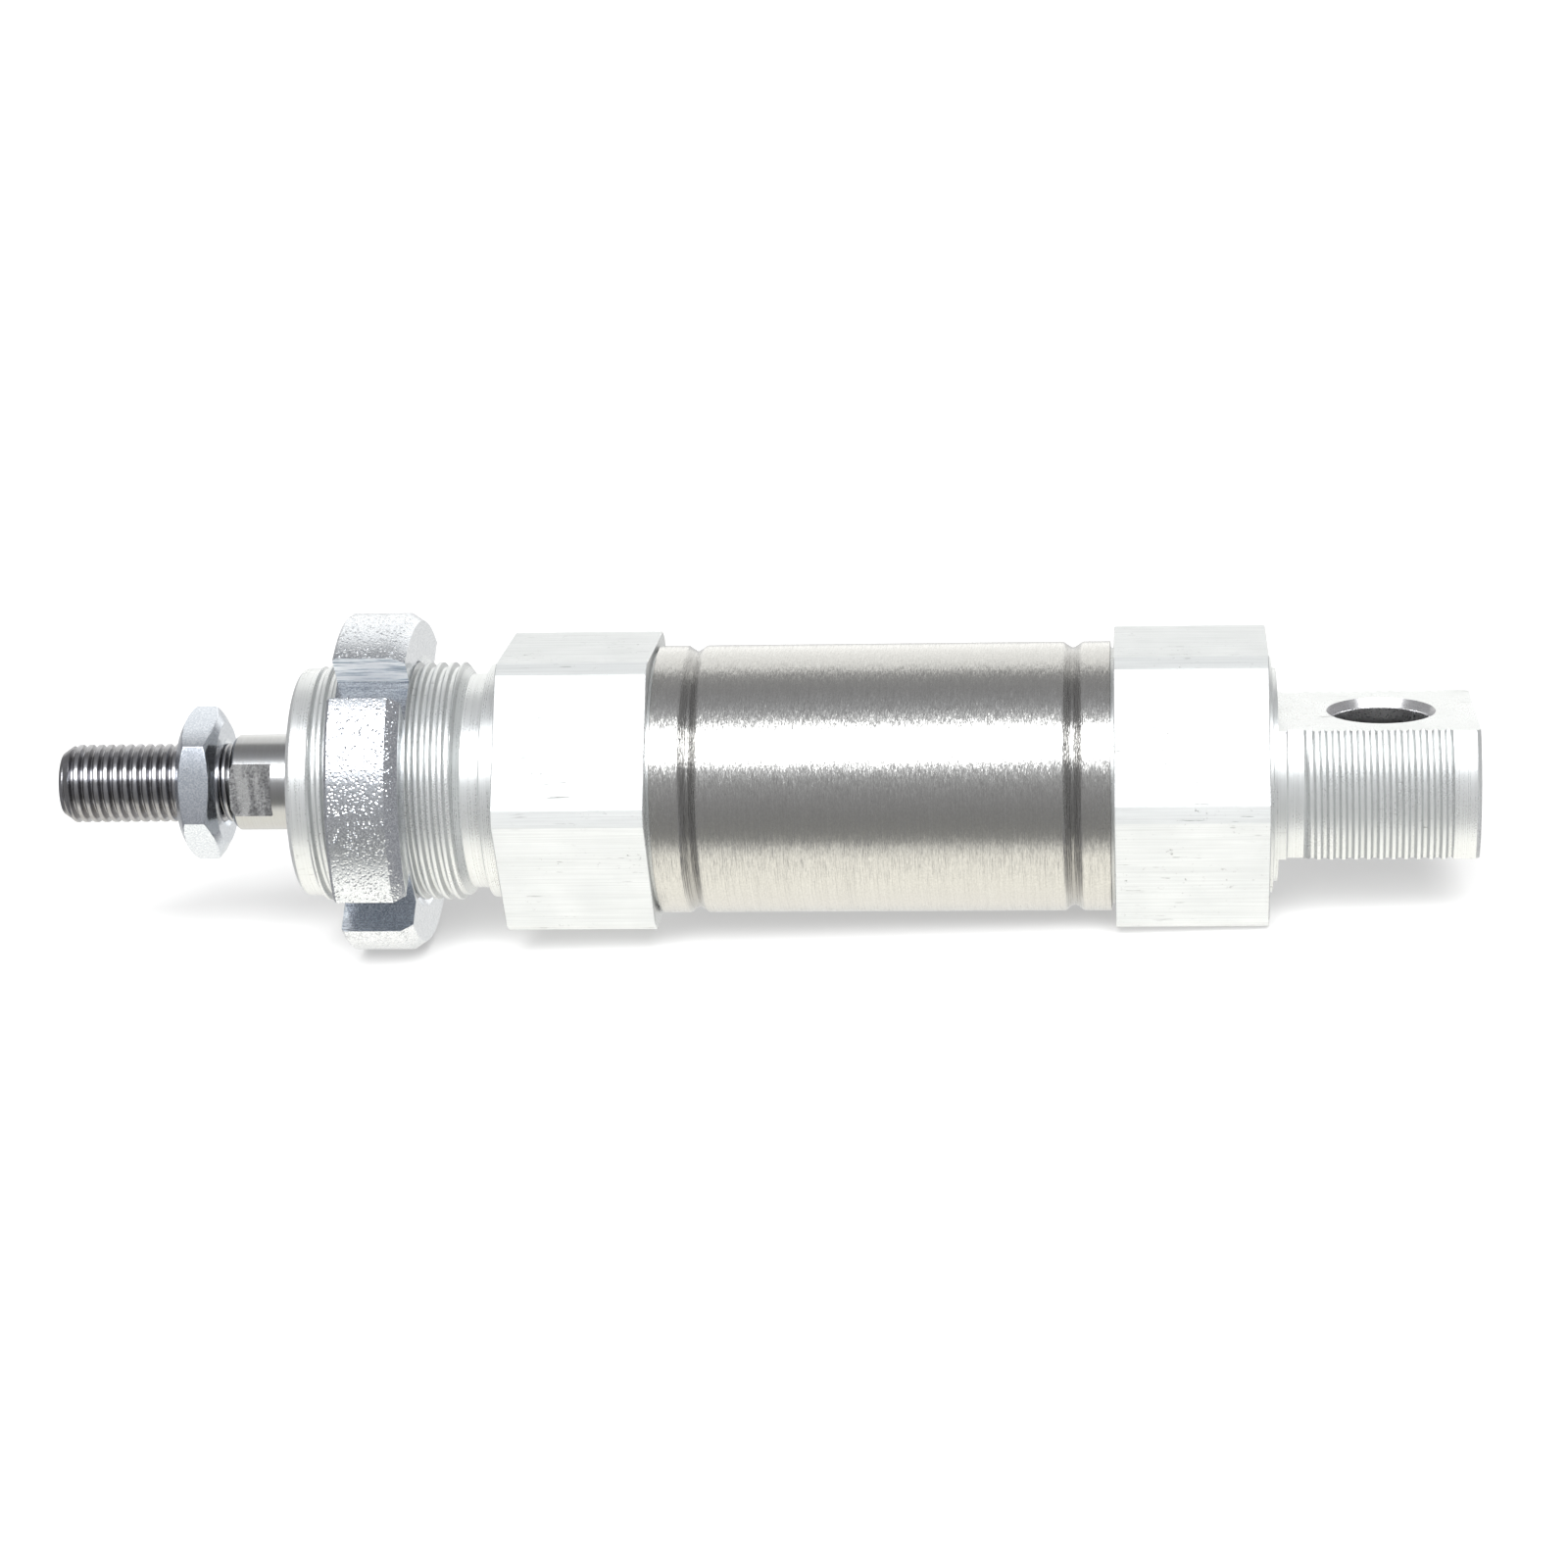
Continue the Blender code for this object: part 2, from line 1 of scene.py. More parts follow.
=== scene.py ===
"""Looks of a round pneumatic cylinder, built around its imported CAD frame.

Lengths are in millimetres until a mesh is made. X runs along the cylinder, with 0 at the eye's
end face and the rod towards -X. Angles about X are measured from -Y towards +Z.
"""
import math

import bmesh
import bpy
import numpy as np
from mathutils import Matrix, Vector


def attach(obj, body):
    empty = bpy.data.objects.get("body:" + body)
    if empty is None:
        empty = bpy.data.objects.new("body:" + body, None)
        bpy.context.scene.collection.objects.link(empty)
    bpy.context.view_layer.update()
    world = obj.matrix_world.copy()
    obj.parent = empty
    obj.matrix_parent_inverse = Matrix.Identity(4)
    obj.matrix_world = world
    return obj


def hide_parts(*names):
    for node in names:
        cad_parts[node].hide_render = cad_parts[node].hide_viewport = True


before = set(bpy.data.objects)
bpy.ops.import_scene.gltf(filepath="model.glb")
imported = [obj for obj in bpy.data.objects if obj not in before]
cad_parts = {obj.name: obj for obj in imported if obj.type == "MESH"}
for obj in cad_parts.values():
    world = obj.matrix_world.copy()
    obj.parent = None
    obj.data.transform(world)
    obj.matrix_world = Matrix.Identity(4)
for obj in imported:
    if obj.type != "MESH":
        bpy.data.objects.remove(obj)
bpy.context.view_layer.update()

MM = 0.001
TAU = 2 * math.pi
MERGE = 2e-6                            # points closer than this, in metres, become one
CORNER_STEPS, FLAT_STEPS = 3, 26        # columns of a hexagon's corner half and of its flat
COLUMNS = 6 * (2 * CORNER_STEPS + FLAT_STEPS)

# stations of the CAD, from the rear to the front
PIN_HOLE_X = -11.4
EYE_LAND_END, EYE_THREAD_END, EYE_RELIEF_END = -3.2, -21.2, -23.2
EYE_FLATS_END, EYE_BOSS_BACK = -24.2, -24.8
REAR_HEX_BACK, REAR_HEX_FRONT = -25.3, -44.0
FRONT_HEX_BACK, FRONT_HEX_FRONT = -100.6, -119.3
NOSE_COLLAR_END, NOSE_RELIEF_END, NOSE_THREAD_END, NOSE_FRONT = -121.4, -123.8, -142.8, -145.4
NUT_BACK, NUT_SHOULDER, NUT_LENGTH = -130.3, 1.5, 8.9
LOCK_NUT_BACK, LOCK_NUT_LENGTH = -155.5, 5.0
ROD_BACK, ROD_SPIGOT_END, ROD_SHOULDER, ROD_TIP = -54.35, -65.65, -154.2, -176.2
SEAL_SEAT, BUSH_SEAT_END = NOSE_FRONT + 5.0, NOSE_FRONT + 25.6
PISTON_O_RING_X = -63.95

# the caps and the tube
HEX_HALF, HEX_CORNER, HEX_BREAK = 17.0, 19.02, 0.2
EYE_RADIUS, EYE_HALF, EYE_RELIEF = 13.24, 8.0, 0.75
PIN_RADIUS, PIN_RIM, PIN_SINK = 6.0, 6.65, 1.1
NOSE_CREST, NOSE_RELIEF, COLLAR_STEP = 14.88, 1.48, 0.3
SEAL_HOUSING, BUSH_HOUSING = 9.0, 7.2
PORT_CORE, PORT_PITCH, PORT_DEPTH, PORT_MOUTH = 4.28, 0.907, 0.55, 5.1
FRONT_PORT_BOTTOM, REAR_PORT_BOTTOM = 7.5, 4.0
SPIGOT, SPIGOT_LENGTH = 15.85, 9.4
O_RING_INSET, O_RING_RADIUS, O_RING_SECTION = 7.7, 15.08, 0.86
TUBE_RADIUS, TUBE_BORE, TUBE_END_GAP, GROOVE_INSET = 16.65, 16.0, 0.4, 5.0

# the rod and the nuts
ROD_RADIUS, ROD_SPIGOT, RUNNING_RADIUS = 6.0, 4.0, 6.1
PISTON_O_RING_RADIUS, PISTON_O_RING_SECTION = 4.73, 0.57
WRENCH_HALF, WRENCH_LENGTH, WRENCH_TURN = 5.0, 5.3, 3.0
NUT_RADIUS, NUT_SLOT_FLOOR, NUT_SLOT_HALF, NUT_SLOT_TURN = 21.1, 16.4, 3.05, 51.6
LOCK_NUT_HALF, LOCK_NUT_FACE, LOCK_NUT_TURN, LOCK_NUT_CROWN = 8.5, 7.6, -18.0, 0.28

# the threads: the fine one is the nose's and the eye's, and a nut's thread is wider by the gap
FINE_PITCH, FINE_DEPTH = 1.5, 0.62
ROD_CREST, ROD_PITCH, ROD_DEPTH = 4.93, 1.25, 0.72
THREAD_GAP = 0.06
FLANK_SHADE = 0.42                      # share of the painted shade's colour on a flank

# rise of a thread's flank, from the middle of the crest to the middle of the root
CUT_FLANK = ((0.0, 0.12, 0.145, 0.17, 0.34, 0.365, 0.39, 0.5),
             (0.0, 0.0, 0.03, 0.12, 0.88, 0.97, 1.0, 1.0))
ROLLED_FLANK = ((0.0, 0.14, 0.19, 0.24, 0.29, 0.41, 0.46, 0.5),
                (0.0, 0.01, 0.04, 0.12, 0.28, 0.88, 0.98, 1.0))


# ---------------------------------------------------------------- shapes

def thread_radius(x, angle, crest, depth, pitch, flank):
    """Radius of a right-hand thread at a point; its crest passes x = 0 at angle 0."""
    phase = (x + pitch * angle / TAU) / pitch
    q = np.abs((phase + 0.5) % 1.0 - 0.5)
    return crest - depth * np.interp(q, *flank)


def rounded(points, closed=False):
    """Points (x, r[, cut]): a corner with a cut length becomes a small arc."""
    result, count = [], len(points)
    for i, point in enumerate(points):
        at = Vector(point[:2])
        if len(point) < 3 or (not closed and i in (0, count - 1)):
            result.append(tuple(at))
            continue
        sides = [Vector(points[(i + d) % count][:2]) - at for d in (-1, 1)]
        ends = [at + side.normalized() * min(point[2], side.length * 0.45) for side in sides]
        for t in (0.0, 0.25, 0.5, 0.75, 1.0):
            result.append(tuple(ends[0] * (1 - t) ** 2 + at * 2 * t * (1 - t) + ends[1] * t * t))
    return result


def hexagon_row(x, limit, half=HEX_HALF, spin=0.0, crown=0.0):
    """A row of the hexagon with flats at half, cut back to a round of radius limit.

    A crown makes the middle of each flat stand proud of its sides by that much."""
    turn = math.acos(min(1.0, half / limit)) if limit > half else 0.0
    turn = min(turn, math.pi / 6)
    corner = np.linspace(math.pi / 6, turn, CORNER_STEPS + 1)
    flat = np.linspace(-turn, turn, FLAT_STEPS + 1)
    sector = np.concatenate([-corner[:-1], flat, corner[::-1][1:-1]])
    angle = np.concatenate([sector + math.pi / 6 + k * math.pi / 3 for k in range(6)])
    sector = np.tile(sector, 6)
    radius = np.minimum(limit, (half - crown * (3 * np.tan(sector) ** 2 - 0.5)) / np.cos(sector))
    return np.full(COLUMNS, float(x)), radius, angle + spin


class Grid:
    """Rows of points round the X axis, joined into one skin."""

    def __init__(self, columns=COLUMNS):
        self.columns, self.rows, self.wrap = columns, [], []
        self.angle = np.arange(columns) * TAU / columns

    def row(self, x, radius, angle):
        self.wrap.append(len(self.rows))
        self.rows.append((x, radius, angle))

    def plain(self, points, closed=False):
        for x, radius in rounded(points, closed):
            self.row(np.full(self.columns, x), np.full(self.columns, radius), self.angle)

    def hexagon(self, x, limit, half=HEX_HALF, spin=0.0, crown=0.0):
        self.row(*hexagon_row(x, limit, half, spin, crown))

    def thread(self, start, end, crest, depth, pitch, limits, inside=False, flank=CUT_FLANK):
        """A helical thread from start to end. limits is a line of (x, r) that it stays within."""
        steps = sorted({round(q, 3) for q in flank[0]} | {round(1 - q, 3) for q in flank[0][1:-1]})
        base, per, down = len(self.rows), len(steps), end < start
        first, last = math.floor(min(start, end) / pitch) - 1, math.ceil(max(start, end) / pitch) + 2
        rows = [pitch * (lap + step) for lap in range(first, last) for step in steps]
        if down:
            rows.reverse()
        edge = sorted(limits)
        for k, u in enumerate(rows):
            x = np.clip(u - pitch * self.angle / TAU, min(start, end), max(start, end))
            radius = thread_radius(x, self.angle, crest, depth, pitch, flank)
            limit = np.interp(x, [p[0] for p in edge], [p[1] for p in edge])
            radius = np.maximum(radius, limit) if inside else np.minimum(radius, limit)
            other = min(k + per, len(rows) - 1) if down else max(k - per, 0)
            self.rows.append((x, radius, self.angle))
            self.wrap.append(base + other)

    def mesh(self, name, closed=False):
        """The skin as a mesh. A closed one joins its last row to its first."""
        n, points = self.columns, []
        for x, radius, angle in self.rows:
            points.append(np.stack([x, -radius * np.cos(angle), radius * np.sin(angle)], 1))
        faces, count = [], len(self.rows)
        for k in range(count if closed else count - 1):
            a, b = k, (k + 1) % count
            for j in range(n - 1):
                faces.append((a * n + j, b * n + j, b * n + j + 1, a * n + j + 1))
            faces.append((a * n + n - 1, b * n + n - 1, self.wrap[b] * n, self.wrap[a] * n))
        mesh = bpy.data.meshes.new(name)
        mesh.from_pydata((np.concatenate(points) * MM).tolist(), [], faces)
        return mesh


def edit(mesh, work):
    """Run work on the mesh as a bmesh."""
    form = bmesh.new()
    form.from_mesh(mesh)
    work(form)
    form.to_mesh(mesh)
    form.free()


def weld(form):
    bmesh.ops.remove_doubles(form, verts=form.verts, dist=MERGE)
    bmesh.ops.dissolve_degenerate(form, edges=form.edges, dist=MERGE / 4)
    bmesh.ops.recalc_face_normals(form, faces=form.faces)


def solid(grid, name, closed=False):
    """A new object from a grid, welded into one closed skin."""
    obj = bpy.data.objects.new(name, grid.mesh(name, closed))
    bpy.context.scene.collection.objects.link(obj)
    edit(obj.data, weld)
    return obj


def bevel(obj, width, chosen, angle):
    """Round the edges sharper than angle whose two ends both satisfy chosen(point in mm)."""
    def work(form):
        edges = [e for e in form.edges if len(e.link_faces) == 2
                 and e.calc_face_angle(0.0) > math.radians(angle)
                 and all(chosen(v.co / MM) for v in e.verts)]
        bmesh.ops.bevel(form, geom=edges, offset=width * MM, offset_type="OFFSET",
                        segments=2, profile=0.5, affect="EDGES", clamp_overlap=True)
        weld(form)
    edit(obj.data, work)


def cut(obj, cutter):
    """Take the cutter away from obj for good."""
    modifier = obj.modifiers.new("Cut", "BOOLEAN")
    modifier.operation, modifier.solver, modifier.object = "DIFFERENCE", "EXACT", cutter
    graph = bpy.context.evaluated_depsgraph_get()
    mesh = bpy.data.meshes.new_from_object(obj.evaluated_get(graph))
    obj.modifiers.clear()
    obj.data = mesh
    bpy.data.objects.remove(cutter)
    edit(mesh, weld)


def block(low, high, turn=0.0):
    """A cutter box between two corners in millimetres, turned about X."""
    form = bmesh.new()
    bmesh.ops.create_cube(form, size=1.0)
    low, high = Vector(low), Vector(high)
    for v in form.verts:
        v.co = Vector([(low[k] + high[k]) / 2 + v.co[k] * (high[k] - low[k]) for k in range(3)]) * MM
    bmesh.ops.transform(form, matrix=Matrix.Rotation(-math.radians(turn), 4, "X"), verts=form.verts)
    mesh = bpy.data.meshes.new("cutter")
    form.to_mesh(mesh)
    form.free()
    obj = bpy.data.objects.new("cutter", mesh)
    bpy.context.scene.collection.objects.link(obj)
    return obj


def drill(grid, location, direction):
    """A turned cutter whose axis lies along direction through a place in millimetres."""
    obj = solid(grid, "cutter")
    turn = Vector(direction).to_track_quat("X", "Z").to_matrix().to_4x4()
    obj.data.transform(Matrix.Translation(Vector(location) * MM) @ turn)
    return obj


# ---------------------------------------------------------------- materials

class Paint:
    """A Principled material built from a few procedural patterns in millimetres."""

    def __init__(self, name, metallic=1.0):
        self.material = bpy.data.materials.new(name)
        self.material.use_nodes = True
        self.tree = self.material.node_tree
        self.shader = self.tree.nodes["Principled BSDF"]
        self.shader.inputs["Metallic"].default_value = metallic
        place = self.node("ShaderNodeTexCoord").outputs["Object"]
        scaled = self.node("ShaderNodeVectorMath", operation="SCALE")
        self.link(place, scaled.inputs[0])
        scaled.inputs["Scale"].default_value = 1 / MM
        self.place = scaled.outputs[0]
        split = self.node("ShaderNodeSeparateXYZ")
        self.link(self.place, split.inputs[0])
        self.x, self.y, self.z = split.outputs
        self.radius = self.math("SQRT", self.math("ADD", self.math("MULTIPLY", self.y, self.y),
                                                  self.math("MULTIPLY", self.z, self.z)))

    def node(self, kind, **settings):
        node = self.tree.nodes.new(kind)
        for key, value in settings.items():
            setattr(node, key, value)
        return node

    def link(self, source, target):
        if isinstance(source, (int, float)):
            target.default_value = source
        elif isinstance(source, tuple):
            target.default_value = (*source, 1.0) if len(source) == 3 else source
        else:
            self.tree.links.new(source, target)

    def math(self, operation, a, b=0.0):
        node = self.node("ShaderNodeMath", operation=operation)
        self.link(a, node.inputs[0])
        self.link(b, node.inputs[1])
        return node.outputs[0]

    def vector(self, x, y, z):
        node = self.node("ShaderNodeCombineXYZ")
        for value, target in zip((x, y, z), node.inputs):
            self.link(value, target)
        return node.outputs[0]

    def turned_place(self, fine, slow=0.05):
        """Coordinates that vary fast along and across the axis and slowly round it."""
        return self.vector(self.math("MULTIPLY", self.x, fine), self.math("MULTIPLY", self.radius, fine),
                           self.math("MULTIPLY", self.math("ADD", self.y, self.z), slow))

    def drawn_place(self, fine, slow):
        """Coordinates that vary fast across the axis and slowly along it."""
        return self.vector(self.math("MULTIPLY", self.x, slow), self.math("MULTIPLY", self.y, fine),
                           self.math("MULTIPLY", self.z, fine))

    def even_place(self, scale, turn=(0.0, 0.0, 0.0), stretch=(1.0, 1.0, 1.0)):
        """Coordinates that vary alike along all axes, unless they are stretched."""
        node = self.node("ShaderNodeMapping")
        self.link(self.place, node.inputs["Vector"])
        node.inputs["Rotation"].default_value = turn
        node.inputs["Scale"].default_value = [scale * s for s in stretch]
        return node.outputs[0]

    def noise(self, place, detail=4.0, rough=0.55):
        node = self.node("ShaderNodeTexNoise")
        self.link(place, node.inputs["Vector"])
        node.inputs["Scale"].default_value = 1.0
        node.inputs["Detail"].default_value = detail
        node.inputs["Roughness"].default_value = rough
        return node.outputs["Fac"]

    def grains(self, place):
        """Distance from the middle of the nearest of many scattered grains."""
        node = self.node("ShaderNodeTexVoronoi")
        self.link(place, node.inputs["Vector"])
        node.inputs["Scale"].default_value = 1.0
        return node.outputs["Distance"]

    def ramp(self, value, low, high, first=0.0, last=1.0):
        """value from low..high becomes first..last, held outside."""
        node = self.node("ShaderNodeMapRange")
        for source, target in zip((value, low, high, first, last), node.inputs):
            self.link(source, target)
        return node.outputs["Result"]

    def blend(self, factor, a, b):
        node = self.node("ShaderNodeMix", data_type="RGBA")
        self.link(factor, node.inputs[0])
        self.link(a, node.inputs[6])
        self.link(b, node.inputs[7])
        return node.outputs[2]

    def bump(self, height, depth, strength=1.0):
        """Relief whose full height range is depth millimetres; calls stack."""
        node = self.node("ShaderNodeBump")
        node.inputs["Strength"].default_value = strength
        node.inputs["Distance"].default_value = depth * MM
        self.link(height, node.inputs["Height"])
        if self.shader.inputs["Normal"].links:
            self.link(self.shader.inputs["Normal"].links[0].from_socket, node.inputs["Normal"])
        self.link(node.outputs[0], self.shader.inputs["Normal"])

    def colour(self, source):
        self.link(source, self.shader.inputs["Base Color"])

    def roughness(self, source):
        self.link(source, self.shader.inputs["Roughness"])


def thread_flank_shade(paint):
    """How far a place lies on a flank of the eye's or the nose's thread, which is given painted shade."""
    height = paint.math("ABSOLUTE", paint.z)
    masks = []
    for low, high, crest, flat in ((EYE_THREAD_END, EYE_LAND_END, EYE_RADIUS, EYE_HALF),
                                   (NOSE_THREAD_END, NOSE_RELIEF_END, NOSE_CREST, NOSE_CREST)):
        root = crest - FINE_DEPTH
        mask = paint.ramp(paint.radius, root, root + 0.14, 0.0, FLANK_SHADE)
        for value, start, end in ((paint.radius, crest, crest - 0.14), (paint.x, low, low + 0.1),
                                  (paint.x, high, high - 0.1), (height, flat, flat - 0.1)):
            mask = paint.math("MULTIPLY", mask, paint.ramp(value, start, end))
        masks.append(mask)
    return paint.math("MAXIMUM", *masks)


def anodised(name, drawn):
    """Satin clear-anodised aluminium, with lathe rings or lengthwise drawn lines."""
    paint = Paint(name, 0.42 if drawn else 0.62)
    lines = paint.noise(paint.drawn_place(5.0, 0.05) if drawn else paint.turned_place(9.0), 3.0, 0.7)
    broad = paint.noise(paint.drawn_place(1.1, 0.03) if drawn else paint.turned_place(1.5), 2.0, 0.6)
    cloud = paint.noise(paint.even_place(0.18), 3.0)
    grain = paint.noise(paint.even_place(6.0), 3.0, 0.7)
    wear = paint.ramp(paint.noise(paint.even_place(0.12), 2.0), 0.45, 0.62)
    specks = paint.ramp(paint.noise(paint.even_place(1.3), 5.0, 0.8), 0.61, 0.68)
    nick = paint.ramp(paint.noise(paint.even_place(1.0, (0.3, 0.2, 0.7), (0.22, 2.4, 2.4)), 3.0, 0.6),
                      0.66, 0.69)
    flaws = paint.math("MULTIPLY", paint.math("MAXIMUM", specks, nick), wear)
    pale = (0.90, 0.915, 0.905) if drawn else (0.82, 0.835, 0.83)
    tone = paint.blend(paint.ramp(lines, 0.38, 0.62), tuple(0.88 * c for c in pale), pale)
    tone = paint.blend(paint.ramp(broad, 0.3, 0.45, 0.3, 0.0), tone, (0.66, 0.68, 0.67))
    tone = paint.blend(paint.ramp(cloud, 0.35, 0.7, 0.0, 0.25), tone, (0.74, 0.76, 0.74))
    if not drawn:
        # painted shade: the thread flanks of the turned surface are darkened in colour
        tone = paint.blend(thread_flank_shade(paint), tone, (0.36, 0.37, 0.37))
    paint.colour(paint.blend(paint.math("MULTIPLY", flaws, 0.85), tone, (0.25, 0.25, 0.24)))
    base = paint.ramp(cloud, 0.3, 0.7, *((0.50, 0.60) if drawn else (0.27, 0.35)))
    rough = paint.math("ADD", base, paint.ramp(lines, 0.3, 0.7, -0.05, 0.06))
    paint.roughness(paint.math("ADD", rough, paint.ramp(grain, 0.35, 0.65, -0.03, 0.04)))
    paint.bump(lines, 0.012, 0.6)
    paint.bump(grain, 0.010, 0.5)
    paint.bump(paint.math("SUBTRACT", 1.0, flaws), 0.03, 0.5)
    return paint.material


def bored():
    """Bright reamed wall of the pin hole, with painted shade darkening it towards its middle."""
    paint = Paint("reamed_aluminium")
    depth = paint.ramp(paint.math("ABSOLUTE", paint.z), 4.8, 5.7, 0.85, 0.0)
    rings = paint.noise(paint.even_place(1.0, stretch=(0.4, 0.4, 9.0)), 3.0, 0.6)
    grain = paint.noise(paint.even_place(4.0), 3.0, 0.6)
    tone = paint.blend(paint.ramp(rings, 0.35, 0.65), (0.82, 0.81, 0.82), (0.92, 0.92, 0.92))
    tone = paint.blend(paint.ramp(grain, 0.4, 0.7, 0.0, 0.3), tone, (0.66, 0.66, 0.67))
    # painted shade: the wall is darkened towards the middle of the hole
    paint.colour(paint.blend(depth, tone, (0.10, 0.10, 0.105)))
    paint.roughness(paint.ramp(grain, 0.3, 0.7, 0.24, 0.36))
    paint.bump(rings, 0.012, 0.6)
    return paint.material


def stainless():
    """Thin stainless tube, brushed round its girth, with painted shade darkening its grooves."""
    paint = Paint("brushed_stainless")
    coarse = paint.noise(paint.turned_place(1.2, 0.02), 2.0, 0.6)
    fine = paint.noise(paint.turned_place(7.0, 0.12), 3.0, 0.75)
    wisps = paint.noise(paint.turned_place(6.5, 0.5), 2.0, 0.6)
    grain = paint.noise(paint.even_place(2.6, stretch=(1.7, 1.0, 1.0)), 4.0, 0.75)
    pits = paint.ramp(paint.noise(paint.even_place(1.5), 5.0, 0.8), 0.64, 0.72)
    tone = paint.blend(paint.ramp(fine, 0.3, 0.7), (0.570, 0.565, 0.545), (0.640, 0.635, 0.615))
    tone = paint.blend(paint.ramp(coarse, 0.35, 0.65, 0.0, 0.25), tone, (0.55, 0.54, 0.52))
    tone = paint.blend(paint.ramp(grain, 0.38, 0.62, 0.0, 0.38), tone, (0.44, 0.43, 0.415))
    # painted shade: the colour darkens towards the bottom of the rolled grooves
    groove_shade = paint.ramp(paint.radius, TUBE_RADIUS - 0.05, TUBE_RADIUS - 0.4, 0.0, 0.45)
    tone = paint.blend(groove_shade, tone, (0.16, 0.155, 0.15))
    paint.colour(paint.blend(paint.math("MULTIPLY", pits, 0.6), tone, (0.22, 0.215, 0.21)))
    rough = paint.math("ADD", paint.ramp(fine, 0.3, 0.7, 0.07, 0.12),
                       paint.ramp(grain, 0.35, 0.65, -0.03, 0.04))
    paint.roughness(paint.math("ADD", rough, paint.ramp(wisps, 0.40, 0.66, -0.05, 0.14)))
    paint.bump(wisps, 0.15, 0.7)
    paint.bump(fine, 0.008, 0.5)
    paint.bump(grain, 0.012, 0.5)
    return paint.material


def zinc(name, shade, light, rough, pitted=False, streaked=False):
    """Bluish electroplated zinc: a glossy skin, with pits on a rough blank or streaks from milling."""
    paint = Paint(name, 0.95)
    skin = paint.noise(paint.even_place(1.1), 3.0, 0.6)
    sparkle = paint.noise(paint.even_place(4.5), 2.0, 0.7)
    cloud = paint.noise(paint.even_place(0.3), 3.0)
    spots = paint.ramp(paint.noise(paint.even_place(1.7), 5.0, 0.7), 0.64, 0.72, 0.0, 0.55)
    middle = tuple(0.5 * (a + b) for a, b in zip(shade, light))
    tone = paint.blend(paint.ramp(sparkle, 0.42, 0.6), shade, light)
    tone = paint.blend(paint.ramp(cloud, 0.4, 0.7, 0.0, 0.3), tone, middle)
    paint.colour(paint.blend(spots, tone, (0.20, 0.20, 0.21)))
    paint.roughness(paint.math("ADD", paint.ramp(skin, 0.3, 0.7, rough - 0.04, rough + 0.06),
                               paint.ramp(sparkle, 0.3, 0.7, -0.03, 0.05)))
    paint.bump(skin, 0.012, 0.6)
    if pitted:
        land = paint.ramp(paint.radius, NUT_RADIUS - 1.1, NUT_RADIUS - 0.2)
        chosen = paint.ramp(paint.noise(paint.even_place(1.3), 2.0, 0.6), 0.40, 0.56)
        pit = paint.ramp(paint.grains(paint.even_place(2.3)), 0.0, 0.5, 1.0, 0.0)
        dents = paint.math("MULTIPLY", pit, paint.math("MULTIPLY", chosen, land))
        paint.bump(paint.math("SUBTRACT", 1.0, dents), 0.10)
        paint.bump(paint.math("MULTIPLY", paint.noise(paint.even_place(5.0), 3.0, 0.7), land), 0.02)
    if streaked:
        paint.bump(paint.noise(paint.drawn_place(3.0, 0.15), 3.0, 0.65), 0.05, 0.8)
    return paint.material


def painted_highlight_zinc():
    """One wall of each slot with a painted highlight: near-white colour in streaks along the axis."""
    paint = Paint("painted_highlight_zinc_plate", 0.25)
    streaks = paint.noise(paint.drawn_place(3.2, 0.2), 3.0, 0.65)
    # painted highlight: the streaks are coloured near-white
    paint.colour(paint.blend(paint.ramp(streaks, 0.40, 0.54), (0.44, 0.50, 0.56), (0.97, 0.99, 1.0)))
    paint.roughness(paint.ramp(streaks, 0.3, 0.7, 0.25, 0.45))
    paint.bump(streaks, 0.05, 0.8)
    return paint.material


def rod_steel():
    """Ground and polished rod, darker where it is threaded."""
    paint = Paint("polished_rod_steel")
    thread = paint.ramp(paint.x, ROD_SHOULDER - 0.6, ROD_SHOULDER - 0.2, 1.0, 0.0)
    fine = paint.noise(paint.turned_place(14.0, 0.08), 3.0, 0.7)
    cloud = paint.noise(paint.even_place(0.7), 4.0, 0.6)
    grain = paint.noise(paint.even_place(6.0), 3.0, 0.7)
    tone = paint.blend(paint.ramp(fine, 0.3, 0.7), (0.42, 0.425, 0.43), (0.52, 0.525, 0.53))
    tone = paint.blend(paint.ramp(cloud, 0.35, 0.65, 0.0, 0.35), tone, (0.46, 0.45, 0.43))
    # the threaded end is given a darker colour than the ground rod
    threaded_tone = paint.blend(paint.ramp(cloud, 0.35, 0.65), (0.31, 0.305, 0.31), (0.40, 0.40, 0.42))
    paint.colour(paint.blend(thread, tone, threaded_tone))
    paint.roughness(paint.math("ADD", paint.ramp(fine, 0.3, 0.7, 0.12, 0.20),
                               paint.ramp(grain, 0.35, 0.65, -0.03, 0.05)))
    paint.bump(fine, 0.004, 0.4)
    paint.bump(grain, 0.008, 0.4)
    return paint.material


def milled_steel():
    """Wrench flats: a rough milled floor with dark and bright blotches."""
    paint = Paint("milled_rod_steel")
    waves = paint.noise(paint.even_place(1.0, stretch=(0.9, 0.3, 0.12)), 2.0, 0.5)
    grain = paint.noise(paint.even_place(3.2), 4.0, 0.8)
    tone = paint.blend(paint.ramp(grain, 0.40, 0.60), (0.34, 0.34, 0.35), (0.90, 0.90, 0.90))
    tone = paint.blend(paint.ramp(waves, 0.30, 0.46, 0.6, 0.0), tone, (0.22, 0.22, 0.23))
    paint.colour(paint.blend(paint.ramp(waves, 0.50, 0.62, 0.0, 0.8), tone, (0.95, 0.95, 0.94)))
    paint.roughness(paint.ramp(grain, 0.3, 0.7, 0.22, 0.36))
    paint.bump(grain, 0.05, 0.9)
    paint.bump(waves, 0.12, 0.5)
    return paint.material


